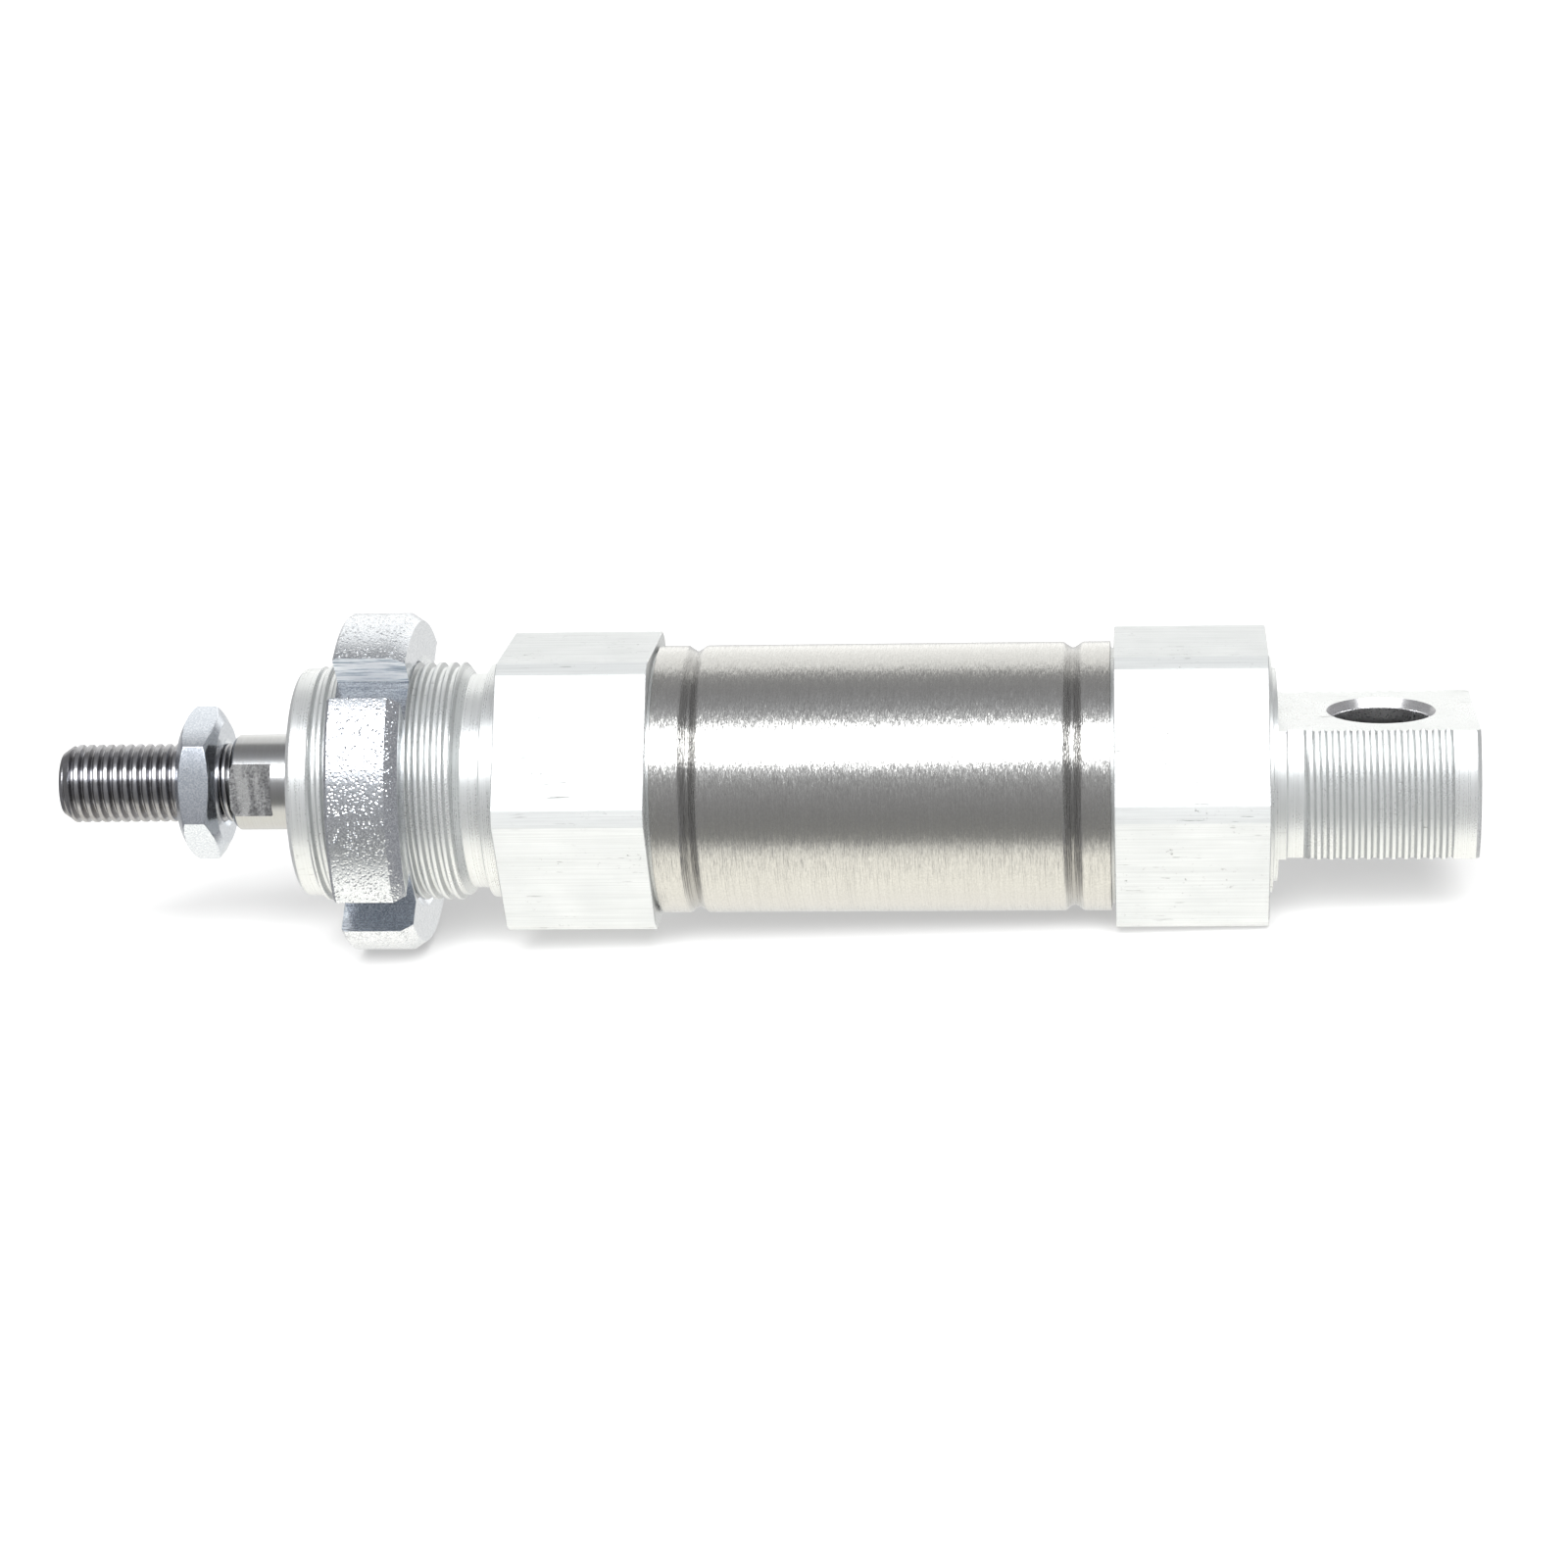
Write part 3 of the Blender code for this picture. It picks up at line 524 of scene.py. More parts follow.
def cast_metal(name, shade, light, rough):
    """Turned bronze or aluminium of the inner pieces."""
    paint = Paint(name)
    lines = paint.noise(paint.turned_place(6.0), 3.0, 0.65)
    cloud = paint.noise(paint.even_place(0.5), 4.0)
    tone = paint.blend(paint.ramp(lines, 0.3, 0.7), shade, light)
    paint.colour(paint.blend(paint.ramp(cloud, 0.4, 0.7, 0.0, 0.4), tone, shade))
    paint.roughness(paint.ramp(lines, 0.3, 0.7, rough - 0.07, rough + 0.08))
    paint.bump(lines, 0.015, 0.6)
    return paint.material


def moulded(name, shade, light, rough, metallic=0.0):
    """Rubber, plastic or pressed magnet powder, with a fine moulded skin."""
    paint = Paint(name, metallic)
    skin = paint.noise(paint.even_place(4.0), 4.0, 0.6)
    cloud = paint.noise(paint.even_place(0.5), 3.0)
    tone = paint.blend(paint.ramp(skin, 0.3, 0.7), shade, light)
    paint.colour(paint.blend(paint.ramp(cloud, 0.4, 0.7, 0.0, 0.4), tone, light))
    paint.roughness(paint.ramp(skin, 0.3, 0.7, rough - 0.08, rough + 0.1))
    paint.bump(skin, 0.02, 0.5)
    return paint.material


# ---------------------------------------------------------------- pieces

def finish(obj, node, body, slot, *materials):
    """Smooth a piece, give it its materials, and let it stand for its CAD node."""
    obj.data.materials.clear()
    for material in materials:
        obj.data.materials.append(material)
    obj.data.shade_smooth()
    obj.data.set_sharp_from_angle(angle=math.radians(28))
    normals = obj.modifiers.new("Normals", "WEIGHTED_NORMAL")
    normals.keep_sharp = True
    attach(obj, body)
    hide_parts(node)


def assign(obj, test, index):
    """Give faces whose (centre in mm, normal) satisfy test the material with that index."""
    for face in obj.data.polygons:
        if test(face.center / MM, face.normal):
            face.material_index = index


def ring(name, points, columns=96):
    """A turned ring, from the closed outline of its section."""
    grid = Grid(columns)
    grid.plain(points, closed=True)
    return solid(grid, name, closed=True)


def barrel_tube(material):
    """Thin tube, rolled into a groove near each end; the groove is wider on the inside."""
    back, front = REAR_HEX_FRONT - TUBE_END_GAP, FRONT_HEX_BACK + TUBE_END_GAP
    outer, inner = [(back, TUBE_RADIUS, 0.12)], [(back, TUBE_BORE, 0.1)]
    groove = ((1.15, 0.0), (0.8, 0.30), (0.12, 0.72), (-0.12, 0.72), (-0.8, 0.30), (-1.15, 0.0))
    for middle in (REAR_HEX_FRONT - GROOVE_INSET, FRONT_HEX_BACK + GROOVE_INSET):
        for offset, depth in groove:
            outer.append((middle + offset, TUBE_RADIUS - depth, 0.3))
            inner.append((middle + offset * 1.2, TUBE_BORE - depth, 0.3))
    outer.append((front, TUBE_RADIUS, 0.12))
    inner.append((front, TUBE_BORE, 0.1))
    tube = ring("tube_shell", outer + inner[::-1], 256)
    finish(tube, "barrel_tube", "cylinder_body", "stainless_tube", material)


def spigot(shoulder, toward):
    """Outline of the part of a cap inside the tube: a rolling groove and an O-ring groove."""
    offsets = ((3.55, 0.0), (3.7, -0.85), (6.3, -0.85), (6.45, 0.0), (6.8, 0.0), (6.8, -1.7),
               (8.6, -1.7), (8.6, 0.0), (SPIGOT_LENGTH - 0.3, 0.0), (SPIGOT_LENGTH, -0.3))
    return [(shoulder, SPIGOT)] + [(shoulder + toward * x, SPIGOT + r, 0.08) for x, r in offsets]


def bumper_seat(face, toward):
    """Outline of the groove in a cap's inner face that holds the bumper."""
    bottom = face - toward * 1.4
    return [(face, 12.6, 0.1), (bottom, 12.6), (bottom, 10.2), (face, 10.2, 0.1)]


def hexagon_zone(grid, back, front):
    """The hexagon of a cap, with its two end edges broken by small quarter rounds."""
    turns = [math.radians(22.5 * k) for k in range(5)]
    for face, toward, order in ((back, -1, turns), (front, 1, turns[::-1])):
        for turn in order:
            inset = HEX_BREAK * (1 - math.sin(turn))
            x = face + toward * HEX_BREAK * (1 - math.cos(turn))
            grid.hexagon(x, HEX_CORNER - inset, HEX_HALF - inset)


def port(obj, x, bottom):
    """Threaded port on the flat that faces 30 degrees above +Y."""
    grid = Grid(72)
    core = PORT_CORE + 0.02
    far = core + 3 * (PORT_MOUTH - core)
    grid.plain([(HEX_HALF + 2, 0.0), (HEX_HALF + 2, far), (HEX_HALF - 1.0, core)])
    grid.thread(HEX_HALF - 1.0, bottom + 1.0, PORT_CORE + PORT_DEPTH, PORT_DEPTH, PORT_PITCH,
                [(HEX_HALF - 1.0, core), (HEX_HALF - 1.5, core + PORT_DEPTH),
                 (bottom + 1.5, core + PORT_DEPTH), (bottom + 1.0, core)])
    grid.plain([(bottom + 1.0, core), (bottom, core), (bottom, 0.0)])
    angle = math.radians(30)
    cut(obj, drill(grid, (x, 0, 0), (0.0, math.cos(angle), math.sin(angle))))


def in_hexagons(p):
    """Whether a point lies on the outside of one of the two caps' hexagons."""
    rear = REAR_HEX_FRONT - 0.1 < p.x < REAR_HEX_BACK + 0.1
    front = FRONT_HEX_FRONT - 0.1 < p.x < FRONT_HEX_BACK + 0.1
    return (rear or front) and math.hypot(p.y, p.z) > HEX_HALF - 0.1


def on_flat(p, n):
    """Whether a face belongs to a flat of a cap's hexagon."""
    return in_hexagons(p * 1.001) and abs(n.x) < 0.2


def in_pin_hole(p, n):
    """Whether a face of the rear cap belongs to the pin hole or its countersinks."""
    return math.hypot(p.x - PIN_HOLE_X, p.y) < PIN_RIM - 0.05 and abs(p.z) < EYE_HALF - 0.02


def front_cap(*materials):
    """Hexagonal cap with the threaded nose, bored for the rod seal and its bush."""
    grid = Grid()
    grid.angle = hexagon_row(0, HEX_CORNER)[2]
    face, collar = FRONT_HEX_BACK + SPIGOT_LENGTH, NOSE_CREST - COLLAR_STEP
    relief, root = NOSE_CREST - NOSE_RELIEF, NOSE_CREST - FINE_DEPTH
    grid.plain(spigot(FRONT_HEX_BACK, 1)[::-1])
    hexagon_zone(grid, FRONT_HEX_BACK, FRONT_HEX_FRONT)
    grid.plain([(FRONT_HEX_FRONT, NOSE_CREST + 0.1), (FRONT_HEX_FRONT, collar, 0.2),
                (NOSE_COLLAR_END, collar, 0.2), (NOSE_COLLAR_END, relief, 0.25),
                (NOSE_RELIEF_END, relief)])
    grid.thread(NOSE_RELIEF_END, NOSE_THREAD_END, NOSE_CREST, FINE_DEPTH, FINE_PITCH,
                [(NOSE_RELIEF_END, relief), (NOSE_RELIEF_END - 1.2, NOSE_CREST + 0.1),
                 (NOSE_THREAD_END + 0.4, NOSE_CREST + 0.1), (NOSE_THREAD_END, root)])
    grid.plain([(NOSE_THREAD_END, root), (NOSE_FRONT + 0.5, root, 0.15), (NOSE_FRONT, root - 0.5, 0.15),
                (NOSE_FRONT, SEAL_HOUSING + 0.3, 0.1), (NOSE_FRONT + 0.3, SEAL_HOUSING, 0.1),
                (SEAL_SEAT, SEAL_HOUSING), (SEAL_SEAT, BUSH_HOUSING), (BUSH_SEAT_END, BUSH_HOUSING),
                (BUSH_SEAT_END, SEAL_HOUSING), (face, SEAL_HOUSING, 0.2)])
    grid.plain(bumper_seat(face, 1)[::-1])
    cap = solid(grid, "front_cap_with_nose", closed=True)
    bevel(cap, 0.13, in_hexagons, 24.0)
    port(cap, (FRONT_HEX_BACK + FRONT_HEX_FRONT) / 2, FRONT_PORT_BOTTOM)
    finish(cap, "front_cap", "cylinder_body", "anodised_caps", *materials)
    assign(cap, on_flat, 1)


def pin_hole(obj):
    """The eye's hole along Z, countersunk on both flats."""
    grid = Grid(96)
    far = PIN_RIM + (PIN_RIM - PIN_RADIUS) / PIN_SINK
    grid.plain([(EYE_HALF + 1, 0.0), (EYE_HALF + 1, far), (EYE_HALF - PIN_SINK, PIN_RADIUS, 0.12),
                (PIN_SINK - EYE_HALF, PIN_RADIUS, 0.12), (-EYE_HALF - 1, far), (-EYE_HALF - 1, 0.0)])
    cut(obj, drill(grid, (PIN_HOLE_X, 0, 0), (0, 0, 1)))


def rear_cap(*materials):
    """Hexagonal cap in one piece with the threaded eye, its two flats and its pin hole."""
    grid = Grid()
    grid.angle = hexagon_row(0, HEX_CORNER)[2]
    face, x = REAR_HEX_FRONT - SPIGOT_LENGTH, (REAR_HEX_BACK + REAR_HEX_FRONT) / 2
    relief, boss = EYE_RADIUS - EYE_RELIEF, NOSE_CREST - COLLAR_STEP
    grid.plain([(0.0, 0.0), (0.0, EYE_RADIUS - 0.5, 0.15), (-0.5, EYE_RADIUS, 0.15),
                (EYE_LAND_END, EYE_RADIUS)])
    grid.thread(EYE_LAND_END, EYE_THREAD_END, EYE_RADIUS, FINE_DEPTH, FINE_PITCH,
                [(EYE_LAND_END, EYE_RADIUS), (EYE_THREAD_END + 0.9, EYE_RADIUS),
                 (EYE_THREAD_END, relief)])
    grid.plain([(EYE_THREAD_END, relief), (EYE_RELIEF_END, relief, 0.2),
                (EYE_RELIEF_END, EYE_RADIUS - 0.1, 0.2), (EYE_BOSS_BACK, EYE_RADIUS - 0.1, 0.1),
                (EYE_BOSS_BACK, boss, 0.12), (REAR_HEX_BACK, boss, 0.1), (REAR_HEX_BACK, boss + 0.3)])
    hexagon_zone(grid, REAR_HEX_BACK, REAR_HEX_FRONT)
    grid.plain(spigot(REAR_HEX_FRONT, -1))
    grid.plain(bumper_seat(face, -1))
    grid.plain([(face, 5.5, 0.2), (x + 4.0, 5.5), (x + 5.6, 0.0)])
    cap = solid(grid, "rear_cap_with_eye")
    bevel(cap, 0.13, in_hexagons, 24.0)
    for side in (-1, 1):
        z = sorted((side * EYE_HALF, side * 20))
        cut(cap, block((EYE_FLATS_END, -20, z[0]), (2, 20, z[1])))
    pin_hole(cap)
    port(cap, x, REAR_PORT_BOTTOM)

    def eye_edges(p):
        return abs(abs(p.z) - EYE_HALF) < 0.01 and (p.x > -0.6 or p.x < EYE_FLATS_END + 0.01)
    bevel(cap, 0.12, eye_edges, 30.0)
    finish(cap, "rear_cap", "cylinder_body", "anodised_caps", *materials)
    assign(cap, on_flat, 1)
    assign(cap, in_pin_hole, 2)


def in_nut_slot(p, n):
    """Whether a face of the mounting nut belongs to the floor or a wall of one of its slots."""
    turn = math.degrees(math.atan2(p.z, -p.y)) - NUT_SLOT_TURN
    off = math.radians((turn + 45) % 90 - 45)
    out, across = math.hypot(p.y, p.z) * math.cos(off), math.hypot(p.y, p.z) * math.sin(off)
    return (NUT_SLOT_FLOOR - 0.05 < out < NUT_RADIUS - 0.2 and abs(across) < NUT_SLOT_HALF + 0.02
            and abs(n.x) < 0.5)


def on_highlit_slot_wall(p, n):
    """Whether a face is the slot wall, one per slot and turned the same way, that gets the painted
    highlight.
    """
    return in_nut_slot(p, n) and p.cross(n).x > 5.0


def mounting_nut(*materials):
    """Round nut on the nose thread, with four slots for a hook spanner."""
    back, front, mouth = NUT_BACK, NUT_BACK - NUT_LENGTH, NOSE_CREST + 0.9
    crest, root = NOSE_CREST + THREAD_GAP, NOSE_CREST - FINE_DEPTH + THREAD_GAP
    grid = Grid()
    grid.plain([(back, NUT_RADIUS - 1.0), (back - NUT_SHOULDER, NUT_RADIUS), (front + 0.4, NUT_RADIUS),
                (front, NUT_RADIUS - 0.4), (front, mouth), (front + mouth - root, root)])
    grid.thread(front + mouth - root, back - mouth + root, crest, FINE_DEPTH, FINE_PITCH,
                [(back - mouth + root, root), (front + mouth - root, root)], inside=True)
    grid.plain([(back - mouth + root, root), (back, mouth)])
    nut = solid(grid, "slotted_mounting_nut", closed=True)
    for quarter in range(4):
        cut(nut, block((front - 2, -NUT_RADIUS - 3, -NUT_SLOT_HALF),
                       (back + 2, -NUT_SLOT_FLOOR, NUT_SLOT_HALF), NUT_SLOT_TURN + 90 * quarter))
    bevel(nut, 0.16, lambda p: math.hypot(p.y, p.z) > 15.3, 24.0)
    finish(nut, "mounting_nut", "nose_nut", "zinc_nut", *materials)
    # painted shade: the slots get the darker zinc
    assign(nut, in_nut_slot, 1)
    # painted highlight: one wall of each slot gets a near-white colour
    assign(nut, on_highlit_slot_wall, 2)


def rod_lock_nut(material):
    """Thin hexagon nut on the rod's thread, chamfered on both faces."""
    back, front, half, face = LOCK_NUT_BACK, LOCK_NUT_BACK - LOCK_NUT_LENGTH, LOCK_NUT_HALF, LOCK_NUT_FACE
    corner, slope = half / math.cos(math.pi / 6), math.tan(math.radians(30))
    spin, crown = math.radians(LOCK_NUT_TURN), LOCK_NUT_CROWN
    crest, root, mouth = ROD_CREST + THREAD_GAP, ROD_CREST - ROD_DEPTH + THREAD_GAP, ROD_CREST + 0.6
    limits = [face] + [half + (corner - half) * s for s in (0.0, 0.12, 0.35, 0.65, 1.0)]
    grid = Grid()
    for limit in limits:
        grid.hexagon(back - (limit - face) * slope, limit, half, spin, crown)
    for limit in limits[::-1]:
        grid.hexagon(front + (limit - face) * slope, limit, half, spin, crown)
    grid.plain([(front, mouth), (front + mouth - root, root)])
    grid.thread(front + mouth - root, back - mouth + root, crest, ROD_DEPTH, ROD_PITCH,
                [(back - mouth + root, root), (front + mouth - root, root)], True, ROLLED_FLANK)
    grid.plain([(back - mouth + root, root), (back, mouth)])
    nut = solid(grid, "rod_end_lock_nut", closed=True)
    bevel(nut, 0.10, lambda p: math.hypot(p.y, p.z) > 7.0, 18.0)
    finish(nut, "rod_lock_nut", "lock_nut", "lock_nut_zinc", material)


def piston_rod(*materials):
    """Rod with the piston's spigot at the back, two wrench flats and the threaded end."""
    back, front, tip = ROD_BACK, ROD_SPIGOT_END, ROD_TIP
    grid = Grid(128)
    grid.plain([(back, 0.0), (back, ROD_SPIGOT - 0.4), (back - 0.4, ROD_SPIGOT), (front, ROD_SPIGOT),
                (front, ROD_RADIUS - 0.3), (front - 0.3, ROD_RADIUS),
                (ROD_SHOULDER + 0.5, ROD_RADIUS, 0.1), (ROD_SHOULDER, ROD_RADIUS - 0.5, 0.1),
                (ROD_SHOULDER, ROD_CREST - 0.35)])
    grid.thread(ROD_SHOULDER, tip, ROD_CREST, ROD_DEPTH, ROD_PITCH,
                [(ROD_SHOULDER, ROD_CREST - 0.35), (ROD_SHOULDER - 0.4, ROD_CREST),
                 (tip + 1.4, ROD_CREST), (tip, 3.95)], flank=ROLLED_FLANK)
    grid.plain([(tip, 3.95), (tip, 3.8), (tip, 0.0)])
    rod = solid(grid, "rod_with_thread")
    flats_end = ROD_SHOULDER + WRENCH_LENGTH
    for side in (-1, 1):
        near, far = sorted((side * WRENCH_HALF, side * 8.0))
        cut(rod, block((ROD_SHOULDER - 0.2, near, -8), (flats_end, far, 8), WRENCH_TURN))
    bevel(rod, 0.12, lambda p: (abs(p.x - flats_end) < 0.01
                                and math.hypot(p.y, p.z) > ROD_RADIUS - 0.1), 20.0)
    across = Matrix.Rotation(math.radians(WRENCH_TURN), 3, "X")

    def milled(p, n):
        return (p.x > ROD_SHOULDER - 0.1 and abs((across @ n).y) > 0.98
                and abs((across @ p).y) < WRENCH_HALF + 0.05)
    finish(rod, "piston_rod", "rod_assembly", "rod_steel", *materials)
    assign(rod, milled, 1)


def rod_bush(material):
    """Guide bush in the nose, behind the rod seal."""
    back, front = SEAL_SEAT + 20.3, SEAL_SEAT + 0.3
    outer = [(back, 6.8), (back - 0.4, 7.1, 0.1), (front + 0.4, 7.1, 0.1), (front, 6.8)]
    inner = [(front, 6.4), (front + 0.3, RUNNING_RADIUS), (back - 0.3, RUNNING_RADIUS), (back, 6.4)]
    finish(ring("guide_bush", outer + inner), "rod_bush", "cylinder_body", "bush_bronze", material)


def rod_wiper_seal(material):
    """Rubber seal in the nose, with a wiping lip at the front and a sealing lip at the back."""
    back, front = SEAL_SEAT - 0.1, NOSE_FRONT
    seal = ring("rod_seal_and_wiper", [
        (back, 8.9, 0.1), (front + 0.5, 8.9, 0.1), (front + 0.2, 8.6, 0.1), (front + 0.2, 7.4, 0.15),
        (front + 0.9, 7.1, 0.2), (front + 0.1, 6.5, 0.1), (front + 0.1, RUNNING_RADIUS, 0.08),
        (front + 1.5, 6.9, 0.3), (front + 2.8, 6.9, 0.3), (front + 3.8, RUNNING_RADIUS, 0.1),
        (back, RUNNING_RADIUS + 0.1, 0.1)], 128)
    finish(seal, "rod_wiper_seal", "cylinder_body", "seal_rubber", material)


def o_ring(node, body, x, radius, section, material):
    """Round ring about the X axis, from the radius of its middle and of its section."""
    turns = [k * TAU / 20 for k in range(20)]
    piece = ring(node + "_round", [(x + section * math.cos(a), radius + section * math.sin(a))
                                   for a in turns])
    finish(piece, node, body, "seal_rubber", material)


def bumper(node, face, toward, material):
    """Elastic ring that stands proud of a cap's inner face and stops the piston."""
    front, back = sorted((face + toward * 0.5, face - toward * 1.3))
    piece = ring(node + "_ring", [(back, 12.5, 0.2), (front, 12.5, 0.2), (front, 10.3, 0.2),
                                  (back, 10.3, 0.2)])
    finish(piece, node, "cylinder_body", "bumper_rubber", material)


def keep_cad_mesh(name, material):
    """Show an inner piece as its CAD node, with a material of its own."""
    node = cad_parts[name]
    node.data.materials.clear()
    node.data.materials.append(material)


# ---------------------------------------------------------------- stage

# the photo's view, in degrees and millimetres, and the table: its half width and the gap under the
# cylinder in metres, its colour and its glow, and the strength and degrees of the light on it
VIEW_SIDE, VIEW_RISE, VIEW_ROLL = 5.126, 14.689, -1.739
VIEW_TARGET, VIEW_DISTANCE, LENS = (-85.13, 0.0, -0.77), 520.95, 95.94
FLOOR_HALF, FLOOR_GAP = 8, 0.0003
FLOOR_COLOUR, FLOOR_GLOW = (0.35, 0.35, 0.348, 1.0), 0.38
TABLE_LIGHT, TABLE_LIGHT_SPREAD, TABLE_LIGHT_TILT = 8.5, 40, 55

# brightness of the studio round the X axis: degrees from -Y over the top, then red, green, blue
STUDIO = ((-180, 0.80, 0.80, 0.80), (-150, 0.95, 0.95, 0.92), (-125, 1.30, 1.27, 1.19),
          (-90, 1.46, 1.43, 1.31), (-60, 1.42, 1.39, 1.28), (-50, 1.05, 1.04, 0.98),
          (-42, 0.44, 0.44, 0.42), (-30, 0.34, 0.34, 0.33), (-16, 0.34, 0.34, 0.34),
          (0, 0.42, 0.42, 0.43), (14, 0.58, 0.59, 0.60), (25, 1.20, 1.22, 1.26),
          (32, 3.40, 3.45, 3.50), (55, 3.40, 3.45, 3.50), (62, 1.20, 1.22, 1.25),
          (76, 0.50, 0.51, 0.53), (95, 0.36, 0.36, 0.37), (116, 0.42, 0.42, 0.42),
          (127, 1.15, 1.15, 1.13), (172, 1.45, 1.45, 1.42), (180, 0.80, 0.80, 0.80))
# what is brighter than the first number is stronger in reflections, by the second times itself
KEY_FROM, KEY_MIRRORED = 2.0, 1.5
# the room's two ends, and the shares of the way to the X axis between which the soft boxes end
STUDIO_ENDS, STUDIO_LENGTH = (0.32, 0.32, 0.33), (0.38, 0.64)


def camera():
    """The view from slightly right of the middle and above, a little turned about its own axis."""
    side, rise, roll = (math.radians(turn) for turn in (VIEW_SIDE, VIEW_RISE, VIEW_ROLL))
    back = Vector((math.sin(side) * math.cos(rise), -math.cos(side) * math.cos(rise), math.sin(rise)))
    right = (-back).cross(Vector((0, 0, 1))).normalized()
    up = right.cross(-back)
    across = right * math.cos(roll) + up * math.sin(roll)
    above = up * math.cos(roll) - right * math.sin(roll)
    data = bpy.data.cameras.new("camera")
    data.lens, data.sensor_width = LENS, 36.0
    data.clip_start, data.clip_end = 0.01, 50.0
    obj = bpy.data.objects.new("camera", data)
    bpy.context.scene.collection.objects.link(obj)
    matrix = Matrix((across, above, back)).transposed().to_4x4()
    matrix.translation = Vector(VIEW_TARGET) * MM + back * (VIEW_DISTANCE * MM)
    obj.matrix_world = matrix
    bpy.context.scene.camera = obj


def floor():
    """A pale glowing table under the lying cylinder, which rests on its mounting nut and rear cap."""
    nut_x, cap_x = (NUT_BACK - NUT_SHOULDER) * MM, (REAR_HEX_BACK - HEX_BREAK) * MM
    nut_z, cap_z = (z * MM - FLOOR_GAP for z in (-NUT_RADIUS, -HEX_HALF))
    slope = (cap_z - nut_z) / (cap_x - nut_x)
    corners = [(x * FLOOR_HALF, y * FLOOR_HALF, cap_z + slope * (x * FLOOR_HALF - cap_x))
               for x, y in ((-1, -1), (1, -1), (1, 1), (-1, 1))]
    mesh = bpy.data.meshes.new("floor")
    mesh.from_pydata(corners, [], [(0, 1, 2, 3)])
    obj = bpy.data.objects.new("floor", mesh)
    bpy.context.scene.collection.objects.link(obj)
    obj.visible_glossy = False
    material = bpy.data.materials.new("floor")
    material.use_nodes = True
    shader = material.node_tree.nodes["Principled BSDF"].inputs
    shader["Base Color"].default_value = FLOOR_COLOUR
    shader["Roughness"].default_value = 0.9
    shader["Emission Color"].default_value = (1.0, 1.0, 1.0, 1.0)
    shader["Emission Strength"].default_value = FLOOR_GLOW
    mesh.materials.append(material)
    table_light(obj)


def table_light(table):
    """A broad sun from the front that lights the table only, so that the shadow falls behind."""
    sun = bpy.data.lights.new("table_light", "SUN")
    sun.energy, sun.angle = TABLE_LIGHT, math.radians(TABLE_LIGHT_SPREAD)
    light = bpy.data.objects.new("table_light", sun)
    light.rotation_euler = (math.radians(TABLE_LIGHT_TILT), 0.0, 0.0)
    bpy.context.scene.collection.objects.link(light)
    lit = bpy.data.collections.new("lit_by_table_light")
    lit.objects.link(table)
    light.light_linking.receiver_collection = lit


def studio():
    """A room of long soft boxes: brightness by the angle round X, darker towards both ends of X."""
    world = bpy.data.worlds.new("studio")
    bpy.context.scene.world = world
    world.use_nodes = True
    tree = world.node_tree
    add, link = tree.nodes.new, tree.links.new

    def math_node(operation, first, *others):
        node = add("ShaderNodeMath")
        node.operation = operation
        link(first, node.inputs[0])
        for k, value in enumerate(others):
            if isinstance(value, float):
                node.inputs[k + 1].default_value = value
            else:
                link(value, node.inputs[k + 1])
        return node.outputs[0]

    split = add("ShaderNodeSeparateXYZ")
    link(add("ShaderNodeTexCoord").outputs["Generated"], split.inputs[0])
    x, y, z = split.outputs
    turn = math_node("ARCTAN2", z, math_node("MULTIPLY", y, -1.0))
    ramp = add("ShaderNodeValToRGB")
    link(math_node("MULTIPLY_ADD", turn, 1 / TAU, 0.5), ramp.inputs[0])
    stops = ramp.color_ramp.elements
    while len(stops) > 1:
        stops.remove(stops[-1])
    for k, (angle, *colour) in enumerate(STUDIO):
        stop = stops[0] if k == 0 else stops.new((angle + 180) / 360)
        stop.position = (angle + 180) / 360
        stop.color = (*colour, float(colour[0] > KEY_FROM))
    ends = add("ShaderNodeMapRange")
    link(math_node("ABSOLUTE", x), ends.inputs["Value"])
    ends.inputs["From Min"].default_value, ends.inputs["From Max"].default_value = STUDIO_LENGTH
    path = add("ShaderNodeLightPath").outputs
    mirrored = math_node("MULTIPLY", ramp.outputs["Alpha"], path["Is Glossy Ray"])
    key = add("ShaderNodeVectorMath")
    key.operation = "SCALE"
    link(ramp.outputs["Color"], key.inputs[0])
    link(math_node("MULTIPLY_ADD", mirrored, KEY_MIRRORED, 1.0), key.inputs["Scale"])
    room, seen = add("ShaderNodeMix"), add("ShaderNodeMix")
    for mix, factor, first, second in ((room, ends.outputs[0], key.outputs[0], STUDIO_ENDS),
                                       (seen, path["Is Camera Ray"], room.outputs[2], (1.0, 1.0, 1.0))):
        mix.data_type = "RGBA"
        link(factor, mix.inputs["Factor"])
        link(first, mix.inputs[6])
        mix.inputs[7].default_value = (*second, 1.0)
    link(seen.outputs[2], tree.nodes["Background"].inputs["Color"])


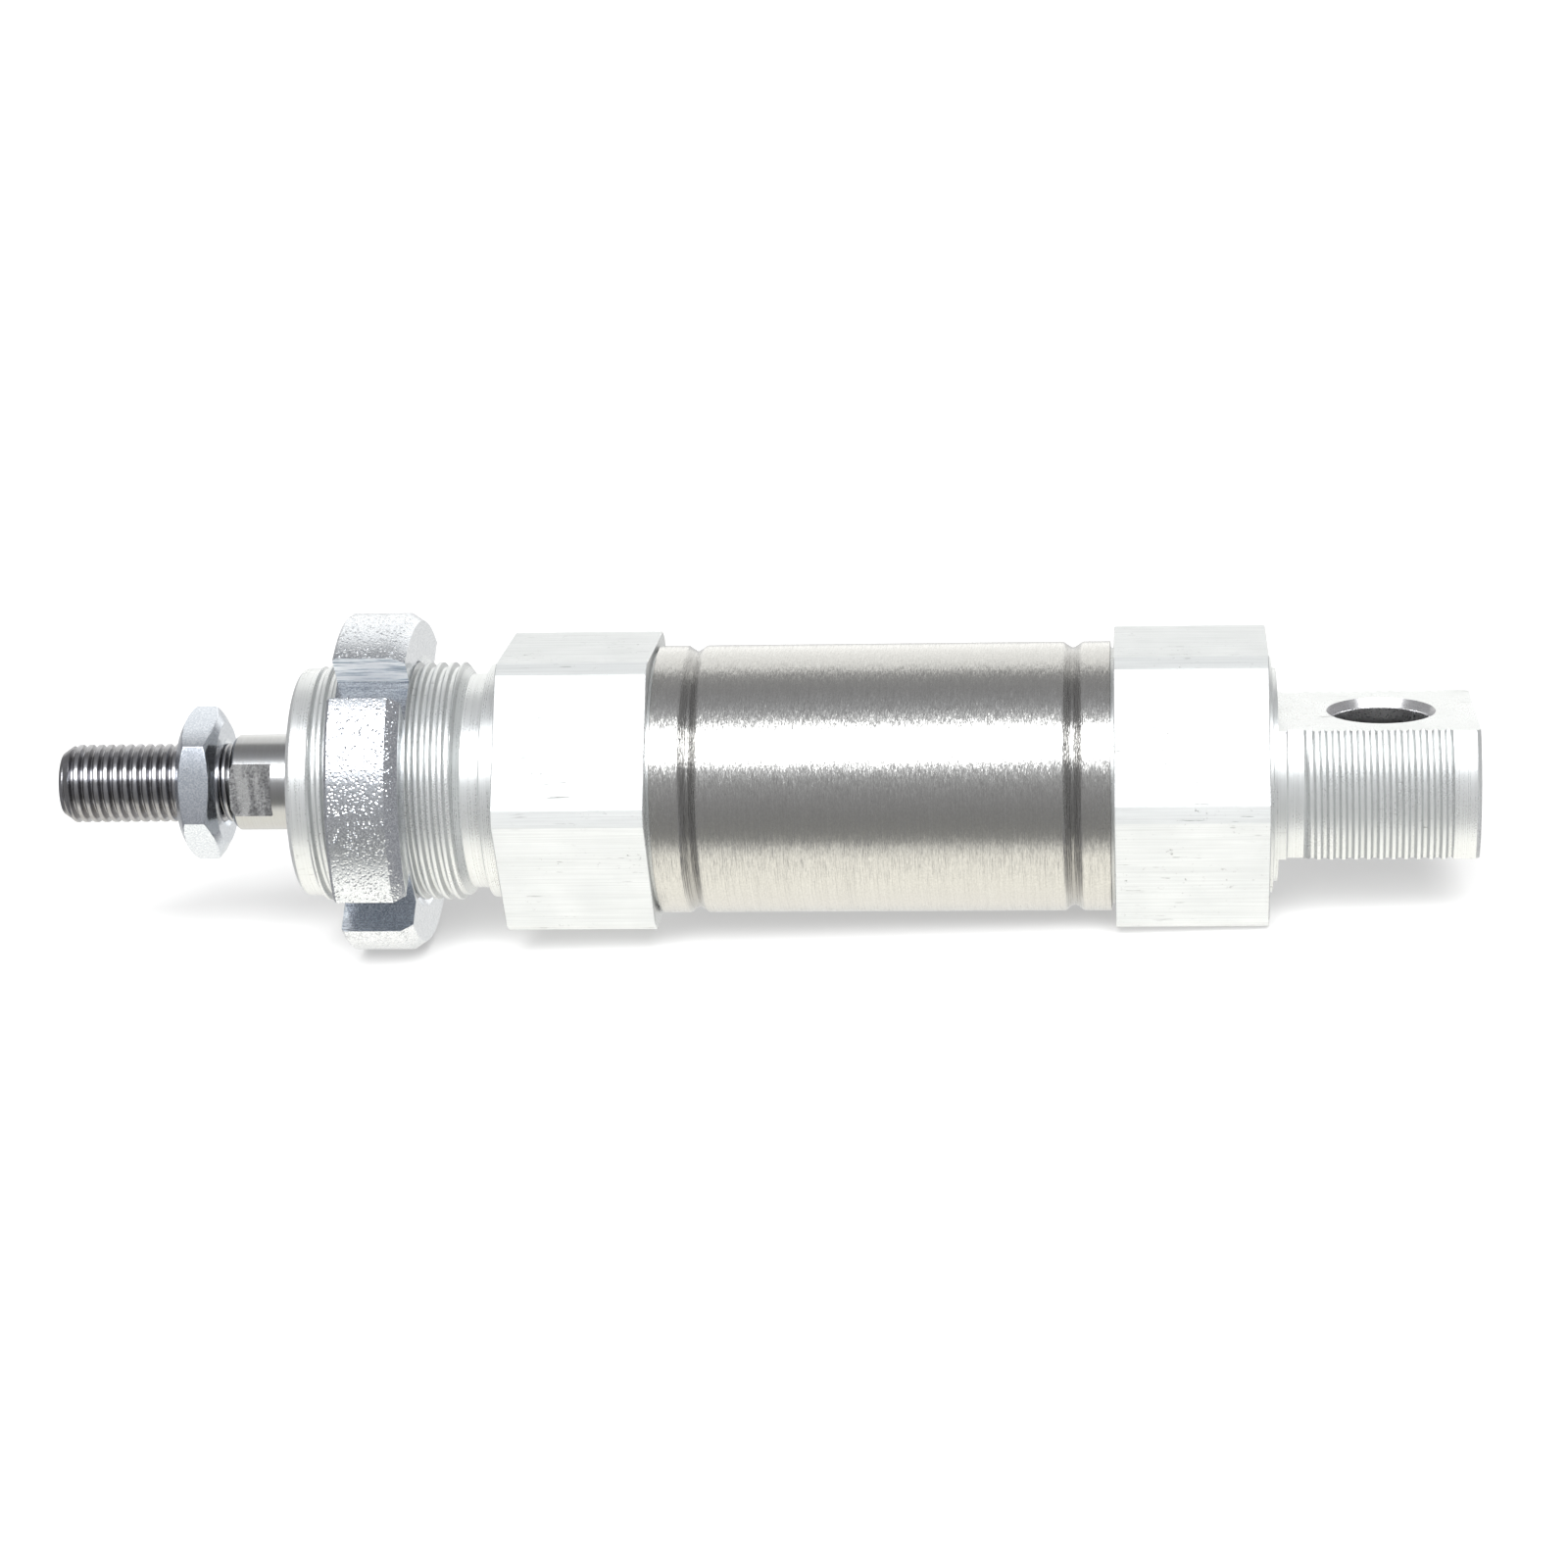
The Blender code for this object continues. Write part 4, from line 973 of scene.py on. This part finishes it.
def build():
    """Every piece with its materials, from the outside to the inside."""
    turned, drawn = anodised("anodised_turned", False), anodised("anodised_drawn", True)
    bright = zinc("bright_zinc_plate", (0.56, 0.60, 0.66), (0.74, 0.77, 0.82), 0.10)
    rubber = moulded("black_rubber", (0.016, 0.016, 0.018), (0.032, 0.032, 0.034), 0.5)
    green = moulded("green_elastomer", (0.02, 0.12, 0.07), (0.04, 0.19, 0.12), 0.5)
    aluminium = cast_metal("piston_metal", (0.54, 0.54, 0.54), (0.66, 0.66, 0.66), 0.38)
    barrel_tube(stainless())
    front_cap(turned, drawn)
    rear_cap(turned, drawn, bored())
    mounting_nut(zinc("zinc_plate", (0.60, 0.63, 0.67), (0.86, 0.88, 0.91), 0.12, pitted=True),
                 # a darker copy of the zinc for the slots, as painted shade in them
                 zinc("painted_shade_zinc_plate", (0.34, 0.36, 0.40), (0.62, 0.65, 0.69), 0.14, streaked=True),
                 # near-white colour on one wall of each slot, a painted highlight
                 painted_highlight_zinc())
    rod_lock_nut(bright)
    piston_rod(rod_steel(), milled_steel())
    rod_bush(cast_metal("bronze", (0.45, 0.29, 0.15), (0.60, 0.42, 0.25), 0.42))
    rod_wiper_seal(rubber)
    o_ring("front_tube_o_ring", "cylinder_body", FRONT_HEX_BACK + O_RING_INSET,
           O_RING_RADIUS, O_RING_SECTION, rubber)
    o_ring("rear_tube_o_ring", "cylinder_body", REAR_HEX_FRONT - O_RING_INSET,
           O_RING_RADIUS, O_RING_SECTION, rubber)
    o_ring("piston_o_ring", "rod_assembly", PISTON_O_RING_X,
           PISTON_O_RING_RADIUS, PISTON_O_RING_SECTION, rubber)
    bumper("front_bumper", FRONT_HEX_BACK + SPIGOT_LENGTH, 1, green)
    bumper("rear_bumper", REAR_HEX_FRONT - SPIGOT_LENGTH, -1, green)
    keep_cad_mesh("piston_front_half", aluminium)
    keep_cad_mesh("piston_rear_half", aluminium)
    keep_cad_mesh("piston_magnet",
                  moulded("magnet_powder", (0.06, 0.06, 0.065), (0.12, 0.12, 0.125), 0.5, 0.5))
    keep_cad_mesh("piston_wear_ring",
                  moulded("guide_plastic", (0.66, 0.65, 0.60), (0.78, 0.77, 0.73), 0.45))
    keep_cad_mesh("front_piston_seal", rubber)
    keep_cad_mesh("rear_piston_seal", rubber)
    keep_cad_mesh("piston_nut", bright)


build()
camera()
floor()
studio()
bpy.context.scene.view_settings.view_transform = "Standard"
